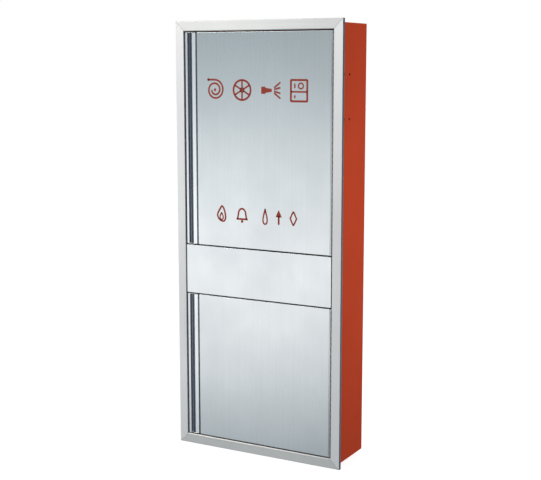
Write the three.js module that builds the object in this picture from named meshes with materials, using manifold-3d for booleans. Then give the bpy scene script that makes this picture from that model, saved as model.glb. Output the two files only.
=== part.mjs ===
// Recessed standpipe cabinet: a trimmed sheet-steel body with two doors, and the hose valve,
// hose reel and nozzle that it holds. Millimetres, +Z up.
//
// Everything is laid out in one drawing frame: x to the right, y into the wall from the front of the
// trim frame, z up from the bottom of the trim frame. The last lines move that frame so that the
// origin is the middle of the body's back, which is the face that the wall holds.

import * as THREE from 'three';
import { mergeVertices } from 'three/addons/utils/BufferGeometryUtils.js';
import Module from 'manifold-3d';

const wasm = await Module();
wasm.setup();

// Driving dimensions
const BODY_WIDTH = 750;
const BODY_HEIGHT = 1800;
const BODY_DEPTH = 240;
const SHEET = 1.5; // body sheet
const OVERHANG = 15; // trim frame past the body on every side
const RAIL = 42; // face width of a trim rail
const RETURN = 15; // depth of the trim frame, from its face to the wall
const LOWER_GAP = 674; // height of the gap between the lower door and the fascia
const UPPER_GAP = 888; // height of the gap between the fascia and the upper door
const GAP = 5; // clearance around the doors
const CLEAR = 0.3; // clearance between pieces that touch

// Derived sizes
const FRAME_WIDTH = BODY_WIDTH + 2 * OVERHANG;
const FRAME_HEIGHT = BODY_HEIGHT + 2 * OVERHANG;
const DEPTH = RETURN + BODY_DEPTH;
const SIDE = BODY_WIDTH / 2; // outer face of a side panel
const INSIDE = SIDE - SHEET - CLEAR; // half width between the side panels
const BACK = DEPTH - SHEET - CLEAR; // front of the back panel
const BODY_BOTTOM = OVERHANG;
const BODY_TOP = OVERHANG + BODY_HEIGHT;
const OPENING = FRAME_WIDTH / 2 - RAIL; // half width of the trim frame's opening
const OPENING_TOP = FRAME_HEIGHT - RAIL;
const BODY_FRONT = RETURN + CLEAR;

// Doors
const DOOR_FACE = 2.5; // how far the door face lies behind the frame's face
const SKIN = 1.2; // door sheet
const TRAY_BACK = 14.5; // back edge of the folded door leaf and fascia
const STILE_LEFT = -OPENING + GAP;
const STILE_WIDTH = 50;
const STILE_DEPTH = 13;
const GROOVE = 7; // shadow groove between stile and leaf
const LEAF_LEFT = STILE_LEFT + STILE_WIDTH + GROOVE;
const LEAF_RIGHT = 338.7;
const HINGE = { x: 343.3, y: 2.0, knuckle: 3.0, bore: 1.85, pin: 1.5 };
const LEAF = { sheet: 1, back: 13.6, fold: 1.4, web: 2.5, reach: 1.8 }; // a piano hinge's leaf
const STIFFENER = { half: 40, wall: 1.5, back: 14, ends: 8 };
const KEEPER = { left: -338, right: -302, thick: 1.5, half: 16 };
const CATCH = { right: -318, front: 0.3, back: 40, half: 20 };
const CAP = 1.5;
const DOORS = [
  { name: 'upper', bottom: UPPER_GAP + GAP / 2, top: OPENING_TOP - GAP, knuckles: 18, catches: [985, 1690] },
  { name: 'lower', bottom: RAIL + GAP, top: LOWER_GAP - GAP / 2, knuckles: 12, catches: [135, 590] },
];

// Hose valve and reel
const VALVE = { x: -235, y: 165, inlet: 905, base: 966, seat: 1014, outlet: 1058, top: 1118 };
const PIPE = { outer: 38, bore: 32, bend: 60.5, stub: 12 }; // stub: how far it stands out of the body
const ELBOW = { collar: 46, long: 24 };
const GROMMET = { lip: 3, outer: 52, fit: 1.2 };
const STEM = 7;
const WHEEL = {
  z: 1190, radius: 65, grip: 8, spokes: 5, hub: 15, hubHalf: 10, spokeWide: 10, spokeThick: 7,
};
const COUPLING_LONG = 40;
const REEL = {
  x: 95, z: 1500, radius: 225, drum: 60, front: 70, back: 165, axle: 10, hub: 22, wall: 3, disc: 2,
};
const REEL_WINDOWS = { count: 6, circle: 142, radius: 42 };
const BRACKET = { half: 60, tall: 80, sheet: 4, boss: 24, bossRoot: 38, front: 12 };
const NOZZLE = { x: 305, y: 150, bottom: 835 };

const paint = (color, roughness, metalness) => new THREE.MeshStandardMaterial({ color, roughness, metalness });
const MATERIALS = {
  trim: paint(0xd8d9d8, 0.32, 1.0),
  stainless: paint(0xc4c9cc, 0.35, 1.0),
  aluminium: paint(0xbfc6cc, 0.3, 1.0),
  red: paint(0xb23c22, 0.55, 0.0),
  dark: paint(0x2c2e31, 0.6, 0.0),
  castRed: paint(0x9c1f16, 0.45, 0.0),
  zinc: paint(0xb4b8ba, 0.4, 1.0),
  brass: paint(0xb08d4a, 0.35, 1.0),
  black: paint(0x1c1c1e, 0.7, 0.0),
};

const cabinet = new THREE.Group();

function add(name, geometry, material) {
  const mesh = new THREE.Mesh(geometry, MATERIALS[material]);
  mesh.name = name;
  cabinet.add(mesh);
}

// Solids: joins and cuts --------------------------------------------------------------------------

function signedVolume(position, index) {
  const [a, b, c] = [new THREE.Vector3(), new THREE.Vector3(), new THREE.Vector3()];
  let volume = 0;
  for (let i = 0; i < index.count; i += 3) {
    a.fromBufferAttribute(position, index.getX(i));
    b.fromBufferAttribute(position, index.getX(i + 1));
    c.fromBufferAttribute(position, index.getX(i + 2));
    volume += a.dot(b.cross(c)) / 6;
  }
  return volume;
}

// One closed mesh with shared corners and its faces pointing out.
function closed(geometry) {
  const bare = geometry.clone();
  bare.deleteAttribute('normal');
  bare.deleteAttribute('uv');
  const merged = mergeVertices(bare, 1e-4);
  const corners = [];
  for (let i = 0; i < merged.index.count; i += 3) {
    const [a, b, c] = [0, 1, 2].map((k) => merged.index.getX(i + k));
    if (a !== b && b !== c && c !== a) corners.push(a, b, c);
  }
  merged.setIndex(corners);
  if (signedVolume(merged.attributes.position, merged.index) < 0) {
    merged.setIndex(corners.reverse());
  }
  return merged;
}

function toSolid(geometry) {
  const mesh = closed(geometry);
  return new wasm.Manifold(new wasm.Mesh({
    numProp: 3,
    vertProperties: Float32Array.from(mesh.attributes.position.array),
    triVerts: Uint32Array.from(mesh.index.array),
  }));
}

function fromSolid(solid) {
  const mesh = solid.getMesh();
  const geometry = new THREE.BufferGeometry();
  geometry.setAttribute('position', new THREE.BufferAttribute(mesh.vertProperties, 3));
  geometry.setIndex(new THREE.BufferAttribute(mesh.triVerts, 1));
  return geometry;
}

const join = (...pieces) => fromSolid(pieces.map(toSolid).reduce((a, b) => a.add(b)));
const cut = (piece, ...tools) => fromSolid(tools.map(toSolid).reduce((a, b) => a.subtract(b), toSolid(piece)));

// Basic shapes ------------------------------------------------------------------------------------

function block([x0, x1], [y0, y1], [z0, z1]) {
  const geometry = new THREE.BoxGeometry(x1 - x0, y1 - y0, z1 - z0);
  return geometry.translate((x0 + x1) / 2, (y0 + y1) / 2, (z0 + z1) / 2);
}

// An outline in x and y, drawn up from z0 to z1.
function prism(shape, z0, z1, curveSegments = 8) {
  const geometry = new THREE.ExtrudeGeometry(shape, { depth: z1 - z0, bevelEnabled: false, curveSegments });
  return closed(geometry.translate(0, 0, z0));
}

// A profile of [radius, height] points turned round the z axis.
function turned(profile, segments = 24) {
  const points = profile.map(([r, h]) => new THREE.Vector2(r, h));
  return closed(new THREE.LatheGeometry(points, segments).rotateX(Math.PI / 2));
}

// A ring or tube between two radii, along z.
function ring(inner, outer, z0, z1, segments = 24) {
  return turned([[inner, z0], [outer, z0], [outer, z1], [inner, z1], [inner, z0]], segments);
}

const rod = (radius, z0, z1, segments = 24) =>
  turned([[0, z0], [radius, z0], [radius, z1], [0, z1]], segments);

// A hexagon nut with a round hole.
const hexNut = (bore, outer, z0, z1) => cut(rod(outer, z0, z1, 6), rod(bore, z0 - 1, z1 + 1, 16));

// Turns a piece drawn along z so that it runs along y or x instead, and moves it into place.
const alongY = (geometry, x, y, z) => closed(geometry.rotateX(-Math.PI / 2).translate(x, y, z));
const alongX = (geometry, x, y, z) => closed(geometry.rotateY(Math.PI / 2).translate(x, y, z));

function polygon(points) {
  return new THREE.Shape(points.map(([x, y]) => new THREE.Vector2(x, y)));
}

function roundHole(shape, x, y, radius, segments = 12) {
  const corners = [];
  for (let i = 0; i < segments; i += 1) {
    const angle = (-2 * Math.PI * i) / segments;
    corners.push(new THREE.Vector2(x + radius * Math.cos(angle), y + radius * Math.sin(angle)));
  }
  shape.holes.push(new THREE.Path(corners));
}

// Trim frame --------------------------------------------------------------------------------------

const OUTER_BEVEL = 2;
const INNER_BEVEL = 3;
const BEVEL_SET = 0.6; // a bevel's corner moves this far along between the sheet's two faces
const WALL_LIP = 10;

// Section of a rail: across from the outer edge, then depth. A folded sheet with a small bevel on
// the outer edge, a wider one on the inner edge and a lip that lies on the wall.
const RAIL_SECTION = polygon([
  [0, RETURN], [0, OUTER_BEVEL], [OUTER_BEVEL, 0], [RAIL - INNER_BEVEL, 0], [RAIL, INNER_BEVEL],
  [RAIL, RETURN], [RAIL - SHEET, RETURN], [RAIL - SHEET, INNER_BEVEL + BEVEL_SET],
  [RAIL - INNER_BEVEL - BEVEL_SET, SHEET], [OUTER_BEVEL + BEVEL_SET, SHEET],
  [SHEET, OUTER_BEVEL + BEVEL_SET], [SHEET, RETURN - SHEET], [WALL_LIP, RETURN - SHEET], [WALL_LIP, RETURN],
]);

function mitredRail(length) {
  const geometry = prism(RAIL_SECTION, 0, length);
  const position = geometry.attributes.position;
  for (let i = 0; i < position.count; i += 1) {
    const set = position.getX(i) + CLEAR / 2;
    const end = position.getZ(i);
    position.setZ(i, end > length / 2 ? length - set : set);
  }
  return geometry;
}

function trimFrame() {
  const half = FRAME_WIDTH / 2;
  const rails = [
    ['frame_left', FRAME_HEIGHT, 0, [-half, 0, 0]],
    ['frame_bottom', FRAME_WIDTH, -90, [half, 0, 0]],
    ['frame_right', FRAME_HEIGHT, 180, [half, 0, FRAME_HEIGHT]],
    ['frame_top', FRAME_WIDTH, 90, [-half, 0, FRAME_HEIGHT]],
  ];
  for (const [name, length, degrees, place] of rails) {
    const turn = THREE.MathUtils.degToRad(degrees);
    add(name, mitredRail(length).rotateY(turn).translate(...place), 'trim');
  }
}

// Body --------------------------------------------------------------------------------------------

const FIXING_HOLE = 5;
const FIXING_HOLES = [[46, 1612], [94, 1612], [46, 1435], [94, 1435]]; // depth, height
const INLET_HOLE = 46;

// A side panel drawn as depth and height, then stood up on its edge.
function sidePanel(side, holes) {
  const depth = [BODY_FRONT, BACK];
  const shape = polygon([
    [depth[0], BODY_BOTTOM], [depth[1], BODY_BOTTOM], [depth[1], BODY_TOP], [depth[0], BODY_TOP],
  ]);
  for (const [y, z, radius, segments] of holes) roundHole(shape, y, z, radius, segments);
  const flat = prism(shape, 0, SHEET);
  flat.applyMatrix4(new THREE.Matrix4().set(0, 0, 1, 0, 1, 0, 0, 0, 0, 1, 0, 0, 0, 0, 0, 1));
  return flat.translate(side > 0 ? SIDE - SHEET : -SIDE, 0, 0);
}

function body() {
  const fixings = FIXING_HOLES.map(([y, z]) => [y, z, FIXING_HOLE, 8]);
  const across = [-INSIDE, INSIDE];
  const deep = [BODY_FRONT, BACK];
  add('body_right_side', sidePanel(1, fixings), 'red');
  add('body_left_side', sidePanel(-1, [...fixings, [VALVE.y, VALVE.inlet, INLET_HOLE, 20]]), 'red');
  add('body_back', block([-SIDE, SIDE], [DEPTH - SHEET, DEPTH], [BODY_BOTTOM, BODY_TOP]), 'red');
  add('body_top', block(across, deep, [BODY_TOP - SHEET, BODY_TOP]), 'red');
  add('body_bottom', block(across, deep, [BODY_BOTTOM, BODY_BOTTOM + SHEET]), 'red');
}

// Pieces between the compartments -----------------------------------------------------------------

// set: from a rail's middle to the edge of the gap that it closes
const CROSS_RAIL = { front: 15.8, deep: 14, tall: 32, wall: 1.2, set: 4 };
const FASCIA = { face: 1.5, side: 2.5 }; // depth of its face, and clearance to the trim at each end
const DIVIDER_HEIGHT = (LOWER_GAP + UPPER_GAP) / 2;

function crossRail(name, middle) {
  const { front, deep, tall, wall } = CROSS_RAIL;
  const heights = [middle - tall / 2, middle + tall / 2];
  const bar = block([-INSIDE, INSIDE], [front, front + deep], heights);
  const bore = block(
    [-SIDE, SIDE],
    [front + wall, front + deep - wall],
    [heights[0] + wall, heights[1] - wall],
  );
  add(name, cut(bar, bore), 'dark');
}

// A shallow tray: a face with its four edges folded back.
function tray([x0, x1], [z0, z1], face) {
  const solid = block([x0, x1], [face, TRAY_BACK], [z0, z1]);
  const hollow = block([x0 + SKIN, x1 - SKIN], [face + SKIN, TRAY_BACK + 1], [z0 + SKIN, z1 - SKIN]);
  return cut(solid, hollow);
}

function middle() {
  crossRail('cross_rail_upper', UPPER_GAP - CROSS_RAIL.set);
  crossRail('cross_rail_lower', LOWER_GAP + CROSS_RAIL.set);
  const half = OPENING - FASCIA.side;
  const heights = [LOWER_GAP + GAP / 2, UPPER_GAP - GAP / 2];
  add('fascia_panel', tray([-half, half], heights, FASCIA.face), 'stainless');
  const front = CROSS_RAIL.front + CROSS_RAIL.deep + 1;
  const level = [DIVIDER_HEIGHT, DIVIDER_HEIGHT + SHEET];
  add('divider_shelf', block([-INSIDE, INSIDE], [front, BACK], level), 'red');
}

const LOW_SHELF = { half: 340, front: 24, back: 244, above: 3 }; // above: its top over the opening's edge

// A folded shelf that stands on the body's floor, level with the bottom of the opening.
function extinguisherShelf() {
  const { half, front, back, above } = LOW_SHELF;
  const floor = BODY_BOTTOM + SHEET + CLEAR;
  const top = RAIL + above;
  const outer = block([-half, half], [front, back], [floor, top]);
  const under = block([-half - 1, half + 1], [front + SHEET, back - SHEET], [floor - 1, top - SHEET]);
  add('extinguisher_shelf', cut(outer, under), 'red');
}

// Doors -------------------------------------------------------------------------------------------

// Section of the finger-pull stile: a thin extrusion with a scoop in its face, and a tongue that
// closes the groove beside the leaf. The scoop drops steeply behind the left lip and rises slowly.
function stileSection() {
  const wall = 1.6;
  const scoop = new THREE.CubicBezierCurve(
    new THREE.Vector2(9.6, 0.8),
    new THREE.Vector2(8.5, 15.5),
    new THREE.Vector2(19, 14),
    new THREE.Vector2(33, 0),
  );
  const steps = 9;
  const front = [];
  const back = [];
  for (let i = 0; i <= steps; i += 1) {
    const point = scoop.getPoint(i / steps);
    const along = scoop.getTangent(i / steps);
    front.push([point.x, point.y]);
    back.unshift([point.x - wall * along.y, point.y + wall * along.x]);
  }
  const right = STILE_WIDTH;
  const tongue = [STILE_WIDTH + GROOVE - CLEAR, STILE_DEPTH - 2.4, STILE_DEPTH - 0.8];
  const inner = back.filter(([, depth]) => depth > wall);
  return polygon([
    [0, STILE_DEPTH], [0, 1.2], [1.2, 0], [8.8, 0], ...front, [right - 1, 0], [right, 1],
    [right, tongue[1]], [tongue[0], tongue[1]], [tongue[0], tongue[2]], [right - wall, tongue[2]],
    [right - wall, wall], ...inner, [8, wall], [wall, wall], [wall, STILE_DEPTH],
  ].map(([x, y]) => [STILE_LEFT + x, DOOR_FACE + y]));
}

// One leaf of a piano hinge: a strip with every second knuckle on it.
function hingeLeaf({ bottom, top, knuckles }, side) {
  const { sheet, back, fold, web: deep, reach } = LEAF;
  const start = LEAF_RIGHT + CLEAR;
  const end = OPENING - CLEAR;
  const strip = side < 0
    ? block([start, start + sheet], [HINGE.y, back], [bottom, top])
    : block([OPENING - fold, end], [HINGE.y + fold, back], [bottom, top]);
  const across = side < 0 ? [start, HINGE.x - reach] : [HINGE.x + reach, end];
  const web = [across, [HINGE.y, HINGE.y + deep]];
  const pitch = (top - bottom) / knuckles;
  const pieces = [strip];
  for (let i = side < 0 ? 1 : 0; i < knuckles; i += 2) {
    const heights = [bottom + i * pitch + CLEAR, bottom + (i + 1) * pitch - CLEAR];
    pieces.push(rod(HINGE.knuckle, ...heights, 8).translate(HINGE.x, HINGE.y, 0));
    pieces.push(block(...web, heights));
  }
  const bore = rod(HINGE.bore, bottom - 1, top + 1, 8).translate(HINGE.x, HINGE.y, 0);
  return cut(join(...pieces), bore);
}

function door(spec) {
  const { name, bottom, top, catches } = spec;
  const stile = [bottom + CAP + CLEAR, top - CAP - CLEAR];
  const stileAcross = [STILE_LEFT, STILE_LEFT + STILE_WIDTH];
  const stileDeep = [DOOR_FACE, DOOR_FACE + STILE_DEPTH];
  const keeperBack = DOOR_FACE + STILE_DEPTH + CLEAR;
  const skinBack = DOOR_FACE + SKIN + CLEAR;
  const middleX = (LEAF_LEFT + LEAF_RIGHT) / 2;

  add(`${name}_door_leaf`, tray([LEAF_LEFT, LEAF_RIGHT], [bottom, top], DOOR_FACE), 'stainless');
  add(`${name}_handle_stile`, prism(stileSection(), ...stile), 'aluminium');
  add(`${name}_handle_cap_bottom`, block(stileAcross, stileDeep, [bottom, bottom + CAP]), 'aluminium');
  add(`${name}_handle_cap_top`, block(stileAcross, stileDeep, [top - CAP, top]), 'aluminium');
  const { half, wall, back, ends } = STIFFENER;
  const outside = [middleX - half, middleX + half];
  const inside = [outside[0] + wall, outside[1] - wall];
  const channel = block(outside, [skinBack, back], [bottom + ends, top - ends]);
  const hollow = block(inside, [skinBack - 1, back - wall], [bottom, top]);
  add(`${name}_door_stiffener`, cut(channel, hollow), 'stainless');
  const plate = [keeperBack, keeperBack + KEEPER.thick];
  const housing = [plate[1] + CATCH.front, CATCH.back];
  catches.forEach((z, i) => {
    const keeper = block([KEEPER.left, KEEPER.right], plate, [z - KEEPER.half, z + KEEPER.half]);
    const pull = block([-INSIDE, CATCH.right], housing, [z - CATCH.half, z + CATCH.half]);
    add(`${name}_keeper_${i + 1}`, keeper, 'zinc');
    add(`${name}_catch_${i + 1}`, pull, 'black');
  });
  add(`${name}_hinge_door_leaf`, hingeLeaf(spec, -1), 'stainless');
  add(`${name}_hinge_frame_leaf`, hingeLeaf(spec, 1), 'stainless');
  const pin = rod(HINGE.pin, bottom, top, 8).translate(HINGE.x, HINGE.y, 0);
  add(`${name}_hinge_pin`, pin, 'zinc');
}

// Water inlet -------------------------------------------------------------------------------------

// A quarter bend from level, running in +x, to straight up.
class Bend extends THREE.Curve {
  getPoint(t) {
    const angle = (t * Math.PI) / 2;
    const { bend } = PIPE;
    return new THREE.Vector3(
      VALVE.x - bend + bend * Math.sin(angle),
      VALVE.y,
      VALVE.inlet + bend - bend * Math.cos(angle),
    );
  }
}

function bent(radius) {
  const circle = new THREE.Shape().absarc(0, 0, radius, 0, 2 * Math.PI, false);
  const options = { steps: 8, bevelEnabled: false, curveSegments: 10, extrudePath: new Bend() };
  return closed(new THREE.ExtrudeGeometry(circle, options));
}

function inlet() {
  const { x, y, inlet: level, base } = VALVE;
  const elbowStart = x - PIPE.bend - 1;
  const outerEnd = -SIDE - PIPE.stub;

  add('inlet_nipple', alongX(ring(PIPE.bore, PIPE.outer, outerEnd, elbowStart - CLEAR, 20), 0, y, level), 'zinc');

  const { lip, outer } = GROMMET;
  const neck = INLET_HOLE - GROMMET.fit;
  const inner = PIPE.outer + CLEAR;
  const ends = [-CLEAR, SHEET + CLEAR]; // the two faces of the sheet that it grips
  const grommet = turned([
    [inner, ends[0] - lip], [outer, ends[0] - lip], [outer, ends[0]], [neck, ends[0]], [neck, ends[1]],
    [outer, ends[1]], [outer, ends[1] + lip], [inner, ends[1] + lip], [inner, ends[0] - lip],
  ], 20);
  add('inlet_grommet', alongX(grommet, -SIDE, y, level), 'black');

  const side = alongX(rod(ELBOW.collar, elbowStart, elbowStart + ELBOW.long, 20), 0, y, level);
  const upper = rod(ELBOW.collar, base - ELBOW.long, base - CLEAR, 20).translate(x, y, 0);
  const sideBore = alongX(rod(PIPE.bore, elbowStart - 5, x - PIPE.bend + 0.2, 20), 0, y, level);
  const upperBore = rod(PIPE.bore, base - 0.4, base + 5, 20).translate(x, y, 0);
  add('inlet_elbow', cut(join(bent(PIPE.outer + 1), side, upper), bent(PIPE.bore), sideBore, upperBore), 'castRed');
}

// Hose valve --------------------------------------------------------------------------------------

// Reach, root and boreRoot are distances from the valve's axis.
const OUTLET = { reach: 95, neck: 41, flange: 46, flangeDeep: 10, root: 20, boreRoot: 30 };
const INLET_BORE = 30;

// Places a piece drawn around the z axis on the valve's axis.
const onValve = (geometry) => geometry.translate(VALVE.x, VALVE.y, 0);

function valveBody() {
  const { x, y, base, seat, outlet, top } = VALVE;
  const barrel = turned([
    [0, base], [46, base], [46, base + 26], [42, base + 32], [50, base + 52], [52, outlet],
    [50, top - 22], [45, top - 12], [45, top], [0, top],
  ]);
  const { reach, root, boreRoot, flangeDeep } = OUTLET;
  const neck = alongY(rod(OUTLET.neck, -reach, -root), x, y, outlet);
  const flange = alongY(rod(OUTLET.flange, -reach, flangeDeep - reach), x, y, outlet);
  const chamber = turned([
    [0, seat], [43, seat], [44, outlet], [43, top - 18], [36, top - 10], [36, top + 1], [0, top + 1],
  ]);
  const inletBore = rod(INLET_BORE, base - 1, seat + 1);
  const outletBore = alongY(rod(PIPE.bore, -reach - 1, -boreRoot), x, y, outlet);
  const shell = join(onValve(barrel), neck, flange);
  return cut(shell, onValve(chamber), onValve(inletBore), outletBore);
}

function handwheel() {
  const { z, radius, grip, spokes, hub, hubHalf } = WHEEL;
  const wide = WHEEL.spokeWide / 2;
  const thick = WHEEL.spokeThick / 2;
  const rim = new THREE.TorusGeometry(radius, grip, 8, 30).translate(0, 0, z);
  const pieces = [rim, rod(hub, z - hubHalf, z + hubHalf, 16)];
  for (let i = 0; i < spokes; i += 1) {
    const spoke = block([0, radius], [-wide, wide], [z - thick, z + thick]);
    pieces.push(spoke.rotateZ((2 * Math.PI * i) / spokes));
  }
  return cut(join(...pieces), rod(STEM + CLEAR, z - 20, z + 20, 12));
}

function valve() {
  const { x, y, seat, outlet, top } = VALVE;
  const hole = STEM + 0.6;
  add('valve_body', valveBody(), 'castRed');
  const bonnet = turned([
    [hole, top - 10], [35.4, top - 10], [35.4, top + CLEAR], [48, top + CLEAR], [48, top + 11],
    [26, top + 15], [21, top + 32], [hole, top + 32], [hole, top - 10],
  ]);
  add('valve_bonnet', onValve(bonnet), 'castRed');
  add('gland_nut', onValve(hexNut(hole, 17, top + 32 + CLEAR, top + 45)), 'brass');
  add('valve_disc', onValve(rod(38, seat + CLEAR, seat + 11)), 'brass');
  add('valve_stem', onValve(rod(STEM, seat + 11 + CLEAR, WHEEL.z + 24, 12)), 'brass');
  add('handwheel', onValve(handwheel()), 'castRed');
  add('handwheel_nut', onValve(hexNut(STEM + CLEAR, 13, WHEEL.z + 10 + CLEAR, WHEEL.z + 20)), 'zinc');

  const coupling = turned([
    [PIPE.bore, COUPLING_LONG], [44, COUPLING_LONG], [50, 34], [50, 6], [47, 0], [39, 0], [39, 10],
    [PIPE.bore, 10], [PIPE.bore, COUPLING_LONG],
  ]);
  const mouth = y - OUTLET.reach - CLEAR - COUPLING_LONG;
  add('outlet_coupling', alongY(coupling, x, mouth, outlet), 'aluminium');
  add('coupling_seal', alongY(ring(33, 38.6, 4, 9.6), x, mouth, outlet), 'black');
}

// Hose reel ---------------------------------------------------------------------------------------

const onReel = (geometry) => alongY(geometry, REEL.x, 0, REEL.z);

// A side disc with a ring of round windows.
function reelDisc(front) {
  const { count, circle, radius } = REEL_WINDOWS;
  const shape = new THREE.Shape().absarc(0, 0, REEL.radius, 0, 2 * Math.PI, false);
  roundHole(shape, 0, 0, REEL.axle + 1);
  for (let i = 0; i < count; i += 1) {
    const angle = (2 * Math.PI * i) / count;
    roundHole(shape, circle * Math.cos(angle), circle * Math.sin(angle), radius);
  }
  return onReel(prism(shape, front, front + REEL.disc, 16));
}

function reel() {
  const { x, z, drum, front, back, axle, hub, wall, disc } = REEL;
  const inner = [front + disc + CLEAR, back - CLEAR];
  const web = [(front + back) / 2 - 2, (front + back) / 2 + 2];
  const spool = turned([
    [axle + 1, inner[0]], [hub, inner[0]], [hub, web[0]], [drum - wall, web[0]], [drum - wall, inner[0]],
    [drum, inner[0]], [drum, inner[1]], [drum - wall, inner[1]], [drum - wall, web[1]], [hub, web[1]],
    [hub, inner[1]], [axle + 1, inner[1]], [axle + 1, inner[0]],
  ]);
  add('reel_disc_front', reelDisc(front), 'red');
  add('reel_disc_back', reelDisc(back), 'red');
  add('reel_drum', onReel(spool), 'red');
  add('reel_axle', onReel(rod(axle, front - 14, BACK - 10, 16)), 'zinc');
  add('reel_axle_nut', onReel(hexNut(axle + CLEAR, 19, front - 12, front - 1)), 'zinc');
  const { half, tall, sheet, boss: tip, bossRoot, front: ahead } = BRACKET;
  const plate = block([x - half, x + half], [BACK - sheet - CLEAR, BACK - CLEAR], [z - tall, z + tall]);
  const [near, far] = [back + ahead, BACK - 3];
  const boss = onReel(turned([[0, near], [tip, near], [bossRoot, far], [0, far]]));
  const socket = onReel(rod(axle + CLEAR, back, BACK - 9, 16));
  add('reel_bracket', cut(join(plate, boss), socket), 'red');
}

// Nozzle ------------------------------------------------------------------------------------------

const NOZZLE_PROFILE = [
  [0, 0], [46, 0], [49, 4], [49, 26], [45, 32], [34, 36], [31, 60], [14, 330], [17, 336], [17, 362], [14, 370], [0, 370],
];
const CLIPS = [115, 285]; // heights of the clips above the nozzle's foot
const CLIP = { half: 10, air: 0.6, band: 1.6, open: 48, foot: 1.5, plate: 2, plateHalf: 16 };

// The nozzle's radius at a height, on the straight taper between the coupling and the tip.
function taperRadius(height) {
  const [[r0, h0], [r1, h1]] = [NOZZLE_PROFILE[6], NOZZLE_PROFILE[7]];
  return r0 + ((r1 - r0) * (height - h0)) / (h1 - h0);
}

// A spring clip: a band open to the front, on a foot that is fixed to the side panel.
function clip(height) {
  const { half, foot: wide, plate: thick, plateHalf } = CLIP;
  const inner = taperRadius(height - half) + CLIP.air;
  const outer = inner + CLIP.band;
  const panel = INSIDE - CLEAR - NOZZLE.x;
  const open = THREE.MathUtils.degToRad(CLIP.open);
  const start = -Math.PI / 2 + open;
  const end = (3 * Math.PI) / 2 - open;
  const band = new THREE.Shape();
  band.absarc(0, 0, outer, start, end, false);
  band.absarc(0, 0, inner, end, start, true);
  const foot = block([inner + 0.4, panel], [-wide, wide], [-half, half]);
  const plate = block([panel - thick, panel], [-plateHalf, plateHalf], [-half, half]);
  return join(prism(band, -half, half, 16), foot, plate);
}

function nozzle() {
  const { x, y, bottom } = NOZZLE;
  add('nozzle', turned(NOZZLE_PROFILE).translate(x, y, bottom), 'aluminium');
  CLIPS.forEach((height, i) => {
    add(`nozzle_clip_${i + 1}`, clip(height).translate(x, y, bottom + height), 'zinc');
  });
}

trimFrame();
body();
middle();
extinguisherShelf();
DOORS.forEach(door);
inlet();
valve();
reel();
nozzle();

cabinet.position.set(0, -DEPTH, -FRAME_HEIGHT / 2);

export default cabinet;
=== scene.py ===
# %% [markdown]
# # A recessed standpipe cabinet, made up in Blender
#
# The cabinet is a red steel box let into a wall. A stainless trim frame covers the joint with the
# wall, two brushed stainless doors hang in it on piano hinges, and a fixed fascia sits between
# them. The measured model gives every place and size; this file gives every piece its real
# rounded edges, folds and finishes. It is meant to be read from top to bottom.

# %% Load the measured model
import math
import bmesh
import bpy
import numpy as np
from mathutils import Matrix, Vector


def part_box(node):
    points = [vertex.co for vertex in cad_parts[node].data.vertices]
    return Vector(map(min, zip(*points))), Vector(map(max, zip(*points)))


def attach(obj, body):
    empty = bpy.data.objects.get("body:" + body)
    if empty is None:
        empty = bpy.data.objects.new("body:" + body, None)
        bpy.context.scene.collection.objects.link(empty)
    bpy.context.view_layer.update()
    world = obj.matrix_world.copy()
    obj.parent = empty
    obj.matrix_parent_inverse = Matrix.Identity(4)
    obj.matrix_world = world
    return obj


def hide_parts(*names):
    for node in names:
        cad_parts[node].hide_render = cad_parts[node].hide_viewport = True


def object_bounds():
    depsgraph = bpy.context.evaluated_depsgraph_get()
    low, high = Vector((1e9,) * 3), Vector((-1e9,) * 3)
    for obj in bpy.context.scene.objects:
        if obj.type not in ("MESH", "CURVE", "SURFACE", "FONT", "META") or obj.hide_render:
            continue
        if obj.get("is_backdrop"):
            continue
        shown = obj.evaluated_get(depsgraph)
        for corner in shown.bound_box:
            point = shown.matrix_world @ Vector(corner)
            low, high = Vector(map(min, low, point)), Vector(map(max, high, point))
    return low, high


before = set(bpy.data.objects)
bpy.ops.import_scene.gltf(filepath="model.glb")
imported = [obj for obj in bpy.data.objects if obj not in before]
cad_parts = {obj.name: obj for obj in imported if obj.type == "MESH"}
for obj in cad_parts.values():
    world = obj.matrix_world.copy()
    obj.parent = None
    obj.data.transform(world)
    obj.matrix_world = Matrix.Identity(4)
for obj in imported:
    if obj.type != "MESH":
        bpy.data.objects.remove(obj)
cad_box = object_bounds()
print("measured box:", [round(v, 3) for corner in cad_box for v in corner])

# %% [markdown]
# ## The camera and the studio
#
# A photographer would write a camera down as a place and an aim: so far to the side, so far in
# front of the trim and so high above its foot, turned and tipped so much. A normal lens on level
# ground would need shift to hold the uprights parallel; tipping the camera a little keeps the
# whole cabinet central from every other side too.

# %% Camera
TRIM_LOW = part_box("frame_left")[0]
TRIM_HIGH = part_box("frame_right")[1]
FACE = TRIM_LOW.y           # the plane of the trim's face
FOOT = TRIM_LOW.z           # the bottom of the trim
CAMERA_SIDE = 2.314
CAMERA_FRONT = 4.052
CAMERA_HEIGHT = 1.648
CAMERA_TURN = math.radians(29.01)
CAMERA_TIP = math.radians(8.75)
CAMERA_LENS = 75.6

camera = bpy.data.objects.new("camera", bpy.data.cameras.new("camera"))
camera.location = (CAMERA_SIDE, FACE - CAMERA_FRONT, FOOT + CAMERA_HEIGHT)
camera.rotation_euler = (math.pi / 2 - CAMERA_TIP, 0, CAMERA_TURN)
camera.data.lens = CAMERA_LENS
bpy.context.scene.collection.objects.link(camera)
bpy.context.scene.camera = camera
bpy.context.scene.view_settings.view_transform = "Standard"
print("camera at", [round(v, 3) for v in camera.location])

# %% [markdown]
# ## How the meshes are built
#
# Sheet metal is a section carried along a line, a pressed tray is a set of rounded rectangles one
# inside the other, and a casting or a nut is a profile turned about an axis. Each of these is a
# grid of points with two parameters, so numpy can work out all of the points at once. One helper
# joins a grid into faces, and another hands a finished grid to Blender.

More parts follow.
